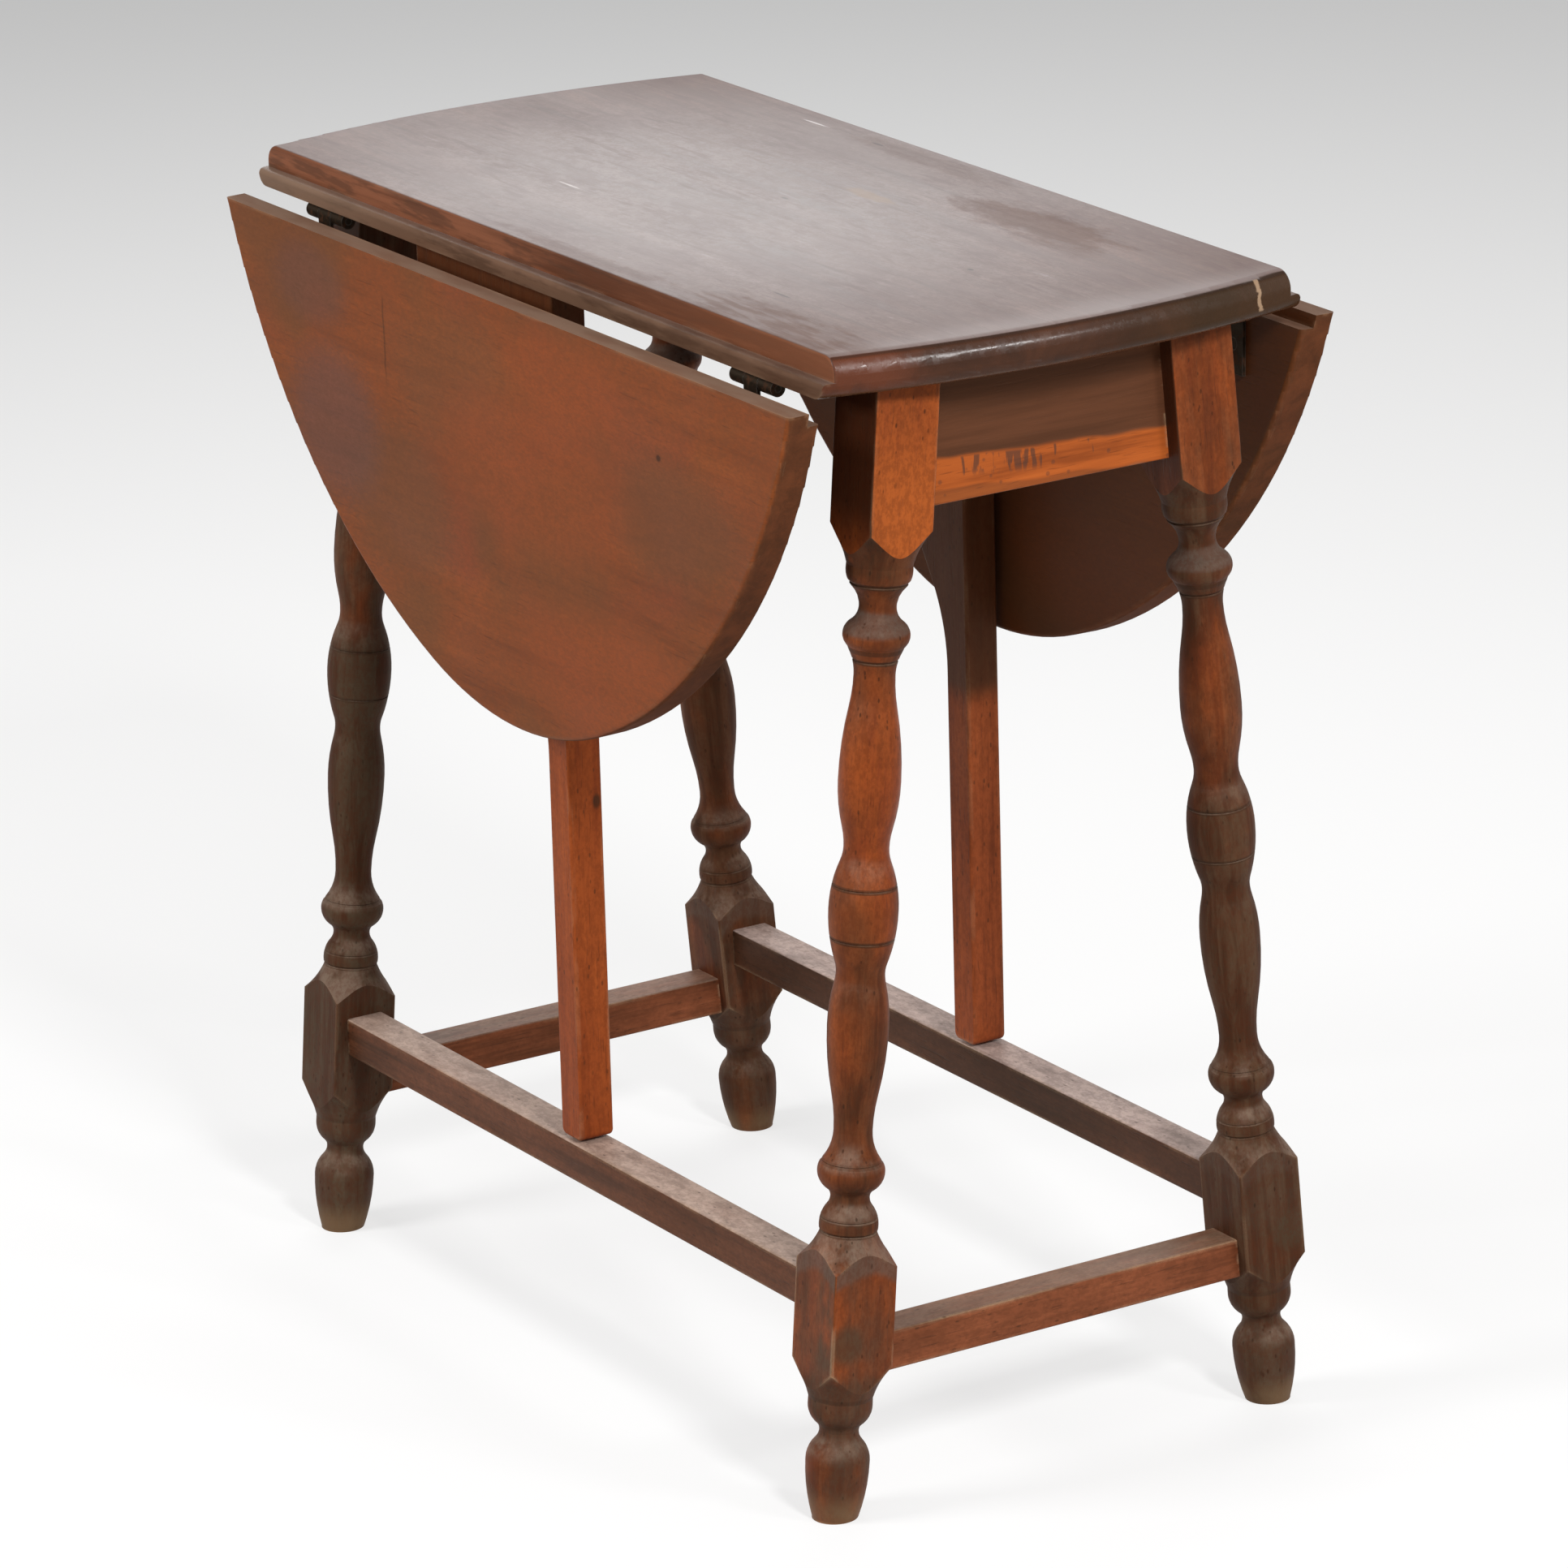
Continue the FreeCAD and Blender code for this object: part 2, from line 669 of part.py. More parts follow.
def cross_rail(label, x, z, high, thick, arris, tenon_thick, tenon_high, tenon_long):
    """A rail across one end, with its shoulders cut to the splay and a tenon at each end."""
    body = new_body(label)
    section = new_sketch(body, label + "_face", "YZ_Plane")
    low, up = z - high / 2, z + high / 2
    polygon(section, [(-inner_y(low), -high / 2), (inner_y(low), -high / 2),
                      (inner_y(up), high / 2), (-inner_y(up), high / 2)])
    board = pad(body, label + "_board", section, thick)
    doc.recompute()
    round_edges(body, label + "_arrises", board, arris,
                lambda edge: edge.BoundBox.YLength > inner_y(z).number and edge.BoundBox.ZLength < SAME_PLACE)
    reach = inner_y(z) + tenon_long
    box(body, label + "_tenons", -tenon_thick / 2, -reach, -tenon_high / 2,
        tenon_thick, reach * 2, tenon_high)
    seat(body, x, 0, z)
    return body


def make_side_stretcher(label, sign):
    body = new_body(label)
    half = leg_x - half_side
    rail = box(body, label + "_rail", -half, -get("stretcher_wide") / 2, -get("stretcher_high") / 2,
               half * 2, get("stretcher_wide"), get("stretcher_high"))
    doc.recompute()
    round_edges(body, label + "_arrises", rail, get("rail_arris_round"),
                lambda edge: edge.BoundBox.XLength > half.number)
    reach = half + get("rail_tenon_long")
    box(body, label + "_tenons", -reach, -get("rail_tenon_thick") / 2, -get("rail_tenon_high") / 2,
        reach * 2, get("rail_tenon_thick"), get("rail_tenon_high"))
    drill(body, label + "_pivot_hole", get("bracket_shift"), get("bracket_inset") * -sign,
          get("stretcher_high") / 2 - get("pivot_in_rail"),
          get("pivot_radius") + get("pivot_clear"), get("pivot_in_rail") + over)
    seat(body, 0, side_rail_y * sign, side_rail_z)
    return body


def make_glue_block(label, sx, sy):
    body = new_body(label)
    side, long = get("glue_block_side"), get("glue_block_long")
    box(body, label + "_block", -side / 2, -long / 2, -side, side, long, side)
    seat(body, (apron_x - get("apron_thick") / 2 - side / 2) * sx,
         (inner_y(underside) - get("glue_block_inset") - long / 2) * sy, underside)
    return body


# The swing brackets: a straight bar on the stretcher that flares into a wing under the top.

bar_low = side_rail_top + get("bar_gap_low")
bar_top = underside - get("bar_gap_top")
bar_high = bar_top - bar_low


def make_bracket(label, sign):
    """Local origin on the pivot line, at the foot of the bar."""
    body = new_body(label)
    face = new_sketch(body, label + "_face", "XZ_Plane")
    half = get("bar_wide") / 2
    toe = get("bar_toe_round")
    bend, angle = get("flare_bend_radius"), get("flare_angle")
    bend_x = -half - bend * (1 - cosine(angle))
    tip_x = half - get("bracket_reach")
    # the tip's rounded corner takes the same length from both sides
    setback = get("tip_round") * tangent(angle / 2)
    slope_z = bar_high - get("wing_side") - setback
    bend_z = slope_z - (bend_x - tip_x) / tangent(angle)
    straight = bend_z - bend * sine(angle)
    corner_a = (tip_x + setback * sine(angle), slope_z - setback * cosine(angle))
    corner_b = (tip_x, slope_z + setback)
    outline = Outline(face)
    tip = get("tip_round")
    # each piece starts where the one before it ends; an arc has its centre and radius
    steps = [
        ((half, toe), None, None),
        ((half, bar_high), None, None),
        ((tip_x, bar_high), None, None),
        (corner_b, (tip_x + tip, slope_z + setback), tip),
        (corner_a, None, None),
        ((bend_x, bend_z), (-half - bend, straight), bend),
        ((-half, straight), None, None),
        ((-half, toe), (-half + toe, toe), toe),
        ((-half + toe, size(0)), None, None),
        ((half - toe, size(0)), (half - toe, toe), toe),
    ]
    for (here, centre, radius), (there, _, _) in zip(steps, steps[1:] + steps[:1]):
        if centre is None:
            geo, start = outline.line(here, there), 1
        else:
            geo, start, _ = outline.arc(here, there, centre)
            outline.fix("Radius", geo, radius)
        outline.locate(geo, start, here)
    outline.close()
    board = pad(body, label + "_board", face, get("bracket_thick"))
    doc.recompute()
    round_edges(body, label + "_arrises", board, get("bracket_round"),
                lambda edge: edge.BoundBox.YLength < SAME_PLACE)
    hole = get("pivot_radius") + get("pivot_clear") / 2
    drill(body, label + "_hole_low", 0, 0, -over, hole, over + get("pivot_in_bar"))
    drill(body, label + "_hole_top", 0, 0, bar_high - get("pivot_in_bar"), hole, over + get("pivot_in_bar"))
    seat(body, get("bracket_shift"), bracket_y * sign, bar_low)
    return body


def make_pivot(label, sign, upper):
    """A wooden dowel from the bracket into the stretcher or into the top."""
    body = new_body(label)
    gap = get("bar_gap_top") if upper else get("bar_gap_low")
    long = get("pivot_in_bar") + gap + get("pivot_in_rail") - get("pivot_end_gap") * 2
    rod = body.newObject("PartDesign::AdditiveCylinder", label + "_rod")
    bind(rod, "Radius", get("pivot_radius"))
    bind(rod, "Height", long)
    if upper:
        level = bar_top - get("pivot_in_bar") + get("pivot_end_gap")
    else:
        level = side_rail_top - get("pivot_in_rail") + get("pivot_end_gap")
    seat(body, get("bracket_shift"), bracket_y * sign, level)
    return body


# The leaves and their hinges. Each is drawn hanging straight down from the pin line, for the
# rear leaf: +Y outwards, local origin on the pin. The lean and the side come with the placement.

face_out = get("table_height") - pin_z
face_in = face_out - get("leaf_thick")
rebate_face = face_out - get("leaf_lip_thick")
lip_end = get("pin_set_out") - get("joint_gap")
rebate_z = get("pin_set_out") - get("lip_reach") - get("lip_gap")


def on_side(sy, lean_too=True):
    """Yaw, pitch and roll that take a part drawn for the rear leaf to its side."""
    roll = -get("leaf_lean_angle") if lean_too else size(0)
    return (180 if sy < 0 else 0, 0, roll)


def make_leaf(label, sy):
    body = new_body(label)
    face = new_sketch(body, label + "_outline", "XZ_Plane", lift=-face_in)
    outline = Outline(face)
    toe, flank = wall_corner * LEAF_toe_share, wall_corner * LEAF_flank_share
    bottom = lip_end - get("leaf_drop")
    toe_centre = bottom + toe
    # the flank's centre lies flank - toe from the toe's centre and flank from the lip's corner
    ax, az = wall_corner.number, lip_end.number
    bx, bz = 0.0, toe_centre.number
    apart = math.hypot(ax - bx, az - bz)
    near, far = (flank - toe).number, flank.number
    along = (near * near - far * far + apart * apart) / (2 * apart)
    away = math.sqrt(near * near - along * along)
    ux, uz = (ax - bx) / apart, (az - bz) / apart
    # of the two places, the upper one
    places = [(bx + ux * along + uz * away * hand, bz + uz * along - ux * away * hand) for hand in (-1, 1)]
    flank_centre = max(places, key=lambda place: place[1])
    to_x, to_z = bx - flank_centre[0], bz - flank_centre[1]
    reach = math.hypot(to_x, to_z)
    meet = (flank_centre[0] + to_x / reach * far, flank_centre[1] + to_z / reach * far)
    corner_r, corner_l = (wall_corner, lip_end), (-wall_corner, lip_end)
    geo = outline.line(corner_l, corner_r)
    outline.locate(geo, 1, corner_l)
    right, start, _ = outline.arc(corner_r, meet, flank_centre)
    outline.locate(right, start, corner_r)
    outline.fix("Radius", right, flank)
    under, _, _ = outline.arc(meet, (-meet[0], meet[1]), (0, toe_centre), smooth=True)
    face.addConstraint(Sketcher.Constraint("PointOnObject", under, 3, -2))
    outline.fix("DistanceY", -1, 1, under, 3, toe_centre)
    outline.fix("Radius", under, toe)
    left, _, _ = outline.arc((-meet[0], meet[1]), corner_l, (-flank_centre[0], flank_centre[1]), smooth=True)
    outline.fix("Radius", left, flank)
    outline.close()
    board = pad(body, label + "_board", face, get("leaf_thick"), symmetric=False, back=True)
    doc.recompute()
    bounds = body.Shape.BoundBox
    if abs(bounds.YMin - face_in.number) > SAME_PLACE:
        raise RuntimeError("the leaf's board lies on the wrong side: %s" % bounds)
    round_edges(body, label + "_edges", board, get("leaf_round"),
                lambda edge: edge.Curve.TypeId == "Part::GeomCircle")
    box(body, label + "_rebate", -wall_corner - over, face_in - over, rebate_z,
        (wall_corner + over) * 2, rebate_face - face_in + over, lip_end - rebate_z + over, cut=True)
    for sx, end in ((-1, "left"), (1, "right")):
        for step, tag in ((-1, "a"), (1, "b")):
            drill(body, "%s_pilot_%s_%s" % (label, end, tag),
                  hinge_x * sx + get("screw_spread") / 2 * step,
                  face_in - over, -get("screw_set_back") - get("strap_clear"),
                  get("screw_shank_radius") + get("screw_clear"),
                  over + get("screw_long") + get("screw_clear") - get("plate_thick"), turn=(0, 0, -90))
    seat(body, 0, pin_y * sy, pin_z, on_side(sy))
    return body


knuckle = (get("hinge_wide") - get("knuckle_gap") * 2) / 3


def knuckles(body, label, centres, length):
    """Barrel pieces along the pin, with the bore for the pin."""
    for number, centre in enumerate(centres):
        ring = body.newObject("PartDesign::AdditiveCylinder", "%s_knuckle%d" % (label, number))
        bind(ring, "Radius", get("barrel_radius"))
        bind(ring, "Height", length)
        seat(ring, centre - length / 2, 0, 0, (0, 90, 0))


def bore(body, label):
    drill(body, label + "_bore", -get("hinge_wide") / 2 - over, 0, 0,
          get("hinge_pin_radius") + get("hinge_pin_clear"), get("hinge_wide") + over * 2, turn=(0, 90, 0))


def screw_holes(body, label, base_y, base_z, turn):
    """Countersunk holes: the shank's clearance and a cone that takes the head."""
    for step, tag in ((-1, "a"), (1, "b")):
        x = get("screw_spread") / 2 * step
        clear = get("screw_clear")
        drill(body, "%s_hole_%s" % (label, tag), x, base_y, base_z,
              get("screw_shank_radius") + clear, get("plate_thick") + over, turn=turn)
        cone = body.newObject("PartDesign::SubtractiveCone", "%s_sink_%s" % (label, tag))
        bind(cone, "Radius1", get("screw_head_radius") + clear)
        bind(cone, "Radius2", get("screw_shank_radius") + clear)
        bind(cone, "Height", get("screw_head_deep"))
        seat(cone, x, base_y, base_z, turn)


def make_top_plate(label, sx, sy):
    """The hinge half on the underside of the top, with the two outer knuckles."""
    body = new_body(label)
    drop, thick = get("pin_drop"), get("plate_thick")
    half = get("hinge_wide") / 2
    box(body, label + "_plate", -half, -get("plate_long"), drop - thick, half * 2, get("plate_long"), thick)
    step = knuckle + get("knuckle_gap")
    room = get("barrel_radius") + get("knuckle_gap")
    box(body, label + "_notch", -knuckle / 2 - get("knuckle_gap"), -room, -over,
        knuckle + get("knuckle_gap") * 2, room + over, drop + over * 2, cut=True)
    knuckles(body, label, (-step, step), knuckle)
    bore(body, label)
    screw_holes(body, label, -get("screw_set_back"), drop - thick, (0, 0, 0))
    seat(body, hinge_x * sx, pin_y * sy, pin_z, on_side(sy, lean_too=False))
    return body


def make_leaf_strap(label, sx, sy):
    """The hinge half on the inner face of the leaf, cranked past the top's lip."""
    body = new_body(label)
    thick, clear = get("plate_thick"), get("strap_clear")
    web_out = get("pin_drop") - clear
    web_in = web_out - thick
    shoulder = get("pin_set_out") - get("lip_reach") - clear
    foot = shoulder - get("plate_long")
    side = new_sketch(body, label + "_side", "YZ_Plane")
    polygon(side, [(web_in, 0), (web_out, 0), (web_out, shoulder), (face_in, shoulder),
                   (face_in, foot), (face_in - thick, foot), (face_in - thick, shoulder - thick),
                   (web_in, shoulder - thick)])
    pad(body, label + "_strap", side, get("hinge_wide"))
    half = get("hinge_wide") / 2
    gap = get("knuckle_gap")
    for sign, tag in ((-1, "left"), (1, "right")):
        x = -half - over if sign < 0 else knuckle / 2
        box(body, label + "_notch_" + tag, x, -over, shoulder, half + over - knuckle / 2,
            over * 2 + web_out, over - shoulder, cut=True)
    knuckles(body, label, (size(0),), knuckle)
    bore(body, label)
    screw_holes(body, label, face_in - thick, -get("screw_set_back") - get("strap_clear"), (0, 0, -90))
    seat(body, hinge_x * sx, pin_y * sy, pin_z, on_side(sy))
    return body


def make_hinge_pin(label, sx, sy):
    body = new_body(label)
    rod = body.newObject("PartDesign::AdditiveCylinder", label + "_rod")
    bind(rod, "Radius", get("hinge_pin_radius"))
    bind(rod, "Height", get("hinge_wide"))
    seat(rod, -get("hinge_wide") / 2, 0, 0, (0, 90, 0))
    seat(body, hinge_x * sx, pin_y * sy, pin_z)
    return body


def make_screw(label, sx, sy, step, on_leaf):
    """A countersunk screw, drawn along the plate's normal from its outer face."""
    body = new_body(label)
    head = body.newObject("PartDesign::AdditiveCone", label + "_head")
    bind(head, "Radius1", get("screw_head_radius"))
    bind(head, "Radius2", get("screw_shank_radius"))
    bind(head, "Height", get("screw_head_deep"))
    shank = body.newObject("PartDesign::AdditiveCylinder", label + "_shank")
    bind(shank, "Radius", get("screw_shank_radius"))
    bind(shank, "Height", get("screw_long") - get("screw_clear"))
    turn_x = hinge_x * sx + get("screw_spread") / 2 * step
    thick = get("plate_thick")
    if not on_leaf:
        y = (pin_y - get("screw_set_back")) * sy
        seat(body, turn_x, y, underside - thick)
    else:
        # from the leaf's frame to the table's frame
        out, down = face_in - thick, -get("screw_set_back") - get("strap_clear")
        tilt = get("leaf_lean_angle")
        y = out * cosine(tilt) + down * sine(tilt)
        z = down * cosine(tilt) - out * sine(tilt)
        roll = -get("leaf_lean_angle") - 90
        seat(body, turn_x, (pin_y + y) * sy, pin_z + z, (180 if sy < 0 else 0, 0, roll))
    return body


parts = [make_top()]
for side, sy in (("front", -1), ("rear", 1)):
    for end, sx in (("left", -1), ("right", 1)):
        parts.append(make_leg("leg_%s_%s" % (side, end), sx, sy))
for end, sx in (("left", -1), ("right", 1)):
    parts.append(cross_rail("apron_" + end, apron_x * sx, apron_z, get("apron_depth"), get("apron_thick"),
                            get("apron_arris_round"), get("apron_tenon_thick"), apron_tenon_high,
                            get("apron_tenon_long")))
    parts.append(cross_rail("end_stretcher_" + end, leg_x * sx, end_rail_z, get("stretcher_high"),
                            get("stretcher_wide"), get("rail_arris_round"), get("rail_tenon_thick"),
                            get("rail_tenon_high"), get("rail_tenon_long")))
    for side, sy in (("front", -1), ("rear", 1)):
        parts.append(make_glue_block("glue_block_%s_%s" % (side, end), sx, sy))
for side, sy in (("front", -1), ("rear", 1)):
    parts.append(make_side_stretcher("side_stretcher_" + side, sy))
    parts.append(make_bracket("swing_bracket_" + side, sy))
    parts.append(make_pivot("pivot_low_" + side, sy, False))
    parts.append(make_pivot("pivot_top_" + side, sy, True))
    parts.append(make_leaf("leaf_" + side, sy))
    for end, sx in (("left", -1), ("right", 1)):
        place = "%s_%s" % (side, end)
        parts.append(make_top_plate("hinge_top_plate_" + place, sx, sy))
        parts.append(make_leaf_strap("hinge_leaf_plate_" + place, sx, sy))
        parts.append(make_hinge_pin("hinge_pin_" + place, sx, sy))
        for step, tag in ((-1, "a"), (1, "b")):
            parts.append(make_screw("screw_top_%s_%s" % (place, tag), sx, sy, step, False))
            parts.append(make_screw("screw_leaf_%s_%s" % (place, tag), sx, sy, step, True))

doc.recompute()
faults = []
for item in doc.Objects:
    if "Invalid" in item.State or "Error" in item.State:
        faults.append("%s: %s" % (item.Name, item.State))
for body in parts:
    shape = body.Shape
    if shape.isNull() or not shape.isValid() or len(shape.Solids) != 1:
        faults.append("%s: not one valid solid" % body.Label)
if faults:
    raise RuntimeError("faults in the model:\n" + "\n".join(faults))

os.makedirs("parts", exist_ok=True)
for body in parts:
    shape = body.Shape.copy()
    shape.exportStep("parts/%s.step" % body.Label)
print("%d parts written" % len(parts))
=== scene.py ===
"""Looks of the drop-leaf side table: woods, iron, floor, light and the photograph's camera.

Lengths are in metres, colours are linear. Places on a piece are in the table's frame at rest: x along the
top, y across it with the front leaf at minus y, z up from the floor. Only the legs have a frame of their own.
"""
import math

import bpy
from mathutils import Matrix, Vector

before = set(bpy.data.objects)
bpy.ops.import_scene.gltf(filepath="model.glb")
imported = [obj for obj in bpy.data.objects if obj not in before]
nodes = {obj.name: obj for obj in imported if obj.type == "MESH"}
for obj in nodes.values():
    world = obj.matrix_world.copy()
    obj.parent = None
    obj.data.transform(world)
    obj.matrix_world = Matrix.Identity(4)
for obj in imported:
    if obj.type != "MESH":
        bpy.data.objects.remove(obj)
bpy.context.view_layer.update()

# Colours that several woods share
ORANGE = (0.345, 0.077, 0.015)
RED = (0.215, 0.043, 0.012)
BROWN = (0.100, 0.033, 0.013)
DARK = (0.036, 0.016, 0.008)
GRIME_AND_SHADE = (0.066, 0.037, 0.021)
DUST = (0.25, 0.175, 0.13)
PALE = (0.52, 0.35, 0.21)

# Gloss that is the same all over a piece: satin on legs, rails, aprons and iron, matt on the leaves
SATIN = {"Specular_IOR_Level": 0.16, "Specular_Tint": (1.0, 0.74, 0.52)}
MATT = {"Specular_IOR_Level": 0.11, "Specular_Tint": (1.0, 0.74, 0.52)}

WORN_REACH = 0.003
CREASE_REACH = 0.010
CREASE_OPENNESS = (0.35, 0.85)
ARRIS_START = 0.01
OVAL_RIM = (0.45, 1.0)
LINE_CORE_SHARE = 0.6
WOOD_RELIEF = 0.0004

# Noise patterns: waves a metre across and along the grain, and a shift that tells them apart
FINE_GRAIN = (520, 26, 3)
PORES = (900, 60, 11)
FINE_SPECKS = (620, 400, 21)
BROAD_SPECKS = (230, 150, 23)

# Where a noise turns from one colour to the next
STREAKY = (0.4, 0.62)
CLOUDY = (0.35, 0.6)
TONE_MIDDLE = (0.36, 0.5)
TONE_LIGHT = (0.5, 0.66)
PORE_LEVEL = (0.62, 0.72)

# How much of a normal points one way where a mask begins and where it is full
FACING = (0.5, 0.8)
FACING_SQUARE = (0.94, 0.985)
FACING_AWAY = (-0.8, -0.5)


def between(first, second, share=0.5):
    return tuple(a + (b - a) * share for a, b in zip(first, second))


def darker(colour, share):
    return tuple(c * share for c in colour)


class Graph:
    """The shader nodes of one material or world, written as sums."""

    def __init__(self, owner, output="OutputMaterial"):
        self.owner = owner
        owner.use_nodes = True
        self.tree = owner.node_tree
        self.tree.nodes.clear()
        self.out = self.add(output)

    def add(self, kind, **settings):
        node = self.tree.nodes.new("ShaderNode" + kind)
        for key, value in settings.items():
            setattr(node, key, value)
        return node

    def feed(self, socket, value):
        """Link a socket to an output, or set it to a number, vector or colour."""
        if isinstance(value, bpy.types.NodeSocket):
            self.tree.links.new(value, socket)
        elif socket.type == "RGBA":
            socket.default_value = (*value, 1.0)
        else:
            socket.default_value = value

    def filled(self, kind, values, **settings):
        """A node whose first inputs take the values."""
        node = self.add(kind, **settings)
        for socket, value in zip(node.inputs, values):
            self.feed(socket, value)
        return node

    def math(self, operation, *values):
        return self.filled("Math", values, operation=operation).outputs[0]

    def scaled(self, value, factor, shift):
        """The value times a factor, plus a shift."""
        return self.math("MULTIPLY_ADD", value, factor, shift)

    def absolute(self, value):
        return self.math("ABSOLUTE", value)

    def vector(self, operation, *values):
        """A length or dot product."""
        return self.filled("VectorMath", values, operation=operation).outputs["Value"]

    def split(self, vector):
        return tuple(self.filled("SeparateXYZ", (vector,)).outputs)

    def join(self, x, y, z):
        return self.filled("CombineXYZ", (x, y, z)).outputs[0]

    def coordinates(self, kind):
        """The piece's own coordinates or normals."""
        return self.add("TexCoord").outputs[kind]

    def noise(self, vector, scale=1.0, detail=3.0, roughness=0.5, distortion=0.0):
        node = self.add("TexNoise")
        for name, value in (("Vector", vector), ("Scale", scale), ("Detail", detail),
                            ("Roughness", roughness), ("Distortion", distortion)):
            self.feed(node.inputs[name], value)
        return node.outputs[0]

    def cells(self, vector):
        """The distance to the nearest of scattered points."""
        node = self.add("TexVoronoi")
        self.feed(node.inputs["Vector"], vector)
        node.inputs["Scale"].default_value = 1.0
        return node.outputs["Distance"]

    def span(self, value, low, high, start=0.0, end=1.0):
        """The start up to low, the end beyond high, and a smooth ramp between."""
        return self.filled("MapRange", (value, low, high, start, end), clamp=True,
                           interpolation_type="SMOOTHSTEP").outputs[0]

    def fall(self, value, low, high):
        """1 up to low, 0 beyond high."""
        return self.span(value, low, high, 1.0, 0.0)

    def ramp(self, value, stops):
        """A curve through (place, number) stops, with places from 0 to 1."""
        node = self.filled("ValToRGB", (value,))
        node.color_ramp.interpolation = "EASE"
        elements = node.color_ramp.elements
        for index in (0, -1):
            place, level = stops[index]
            elements[index].position = place
            elements[index].color = (level, level, level, 1)
        for place, level in stops[1:-1]:
            elements.new(place).color = (level, level, level, 1)
        return self.filled("RGBToBW", (node.outputs[0],)).outputs[0]

    def mix(self, factor, first, second):
        node = self.add("Mix", data_type="RGBA")
        colours = [socket for socket in node.inputs if socket.type == "RGBA"]
        self.feed(node.inputs["Factor"], factor)
        self.feed(colours[0], first)
        self.feed(colours[1], second)
        return next(socket for socket in node.outputs if socket.type == "RGBA")

    def mask(self, total, *factors):
        """The product of masks and shares."""
        for factor in factors:
            total = self.math("MULTIPLY", total, factor)
        return total

    def either(self, greatest, *masks):
        """The greatest of masks."""
        for mask in masks:
            greatest = self.math("MAXIMUM", greatest, mask)
        return greatest

    def lines(self, value, places, half):
        """1 at each place of a value, 0 away from them."""
        core = half * LINE_CORE_SHARE
        return self.either(*(self.fall(self.absolute(self.math("SUBTRACT", value, place)), core, half)
                             for place in places))

    def spot(self, u, v, middle, reach, ragged=None):
        """1 in the middle of an oval, 0 outside it. A noise makes its rim ragged."""
        a, b = (self.math("DIVIDE", self.math("SUBTRACT", value, at), far)
                for value, at, far in zip((u, v), middle, reach))
        away = self.vector("LENGTH", self.join(a, b, 0.0))
        if ragged is not None:
            away = self.math("ADD", away, ragged)
        return self.fall(away, *OVAL_RIM)

    def spots(self, u, v, rows, ragged=None):
        """Ovals, each given by its middle, its reach and its share."""
        return self.either(*(self.mask(self.spot(u, v, middle, reach, ragged), share)
                             for middle, reach, share in rows))

    def crease(self):
        """1 deep in a crease of the same piece, 0 in the open."""
        node = self.add("AmbientOcclusion", samples=6, only_local=True)
        node.inputs["Distance"].default_value = CREASE_REACH
        return self.fall(node.outputs["AO"], *CREASE_OPENNESS)

    def arris(self, radius, keen=0.12):
        """1 on an arris, 0 on a flat."""
        node = self.add("Bevel", samples=4)
        node.inputs["Radius"].default_value = radius
        plain = self.add("NewGeometry")
        same = self.vector("DOT_PRODUCT", node.outputs[0], plain.outputs["Normal"])
        return self.span(self.math("SUBTRACT", 1.0, same), ARRIS_START, keen)

    def seen(self):
        """1 where the surface is seen straight, in a mirror or through glass."""
        path = self.add("LightPath")
        return self.either(path.outputs["Is Camera Ray"], path.outputs["Is Glossy Ray"],
                           path.outputs["Is Transmission Ray"])

    def shader(self, colour, roughness, relief, strength, depth=WOOD_RELIEF, **gloss):
        """The finished material."""
        node = self.add("BsdfPrincipled")
        self.feed(node.inputs["Base Color"], colour)
        self.feed(node.inputs["Roughness"], roughness)
        for name, value in gloss.items():
            self.feed(node.inputs[name.replace("_", " ")], value)
        bump = self.add("Bump")
        bump.inputs["Strength"].default_value = strength
        bump.inputs["Distance"].default_value = depth
        self.feed(bump.inputs["Height"], relief)
        self.feed(node.inputs["Normal"], bump.outputs[0])
        self.feed(self.out.inputs["Surface"], node.outputs[0])
        return self.owner


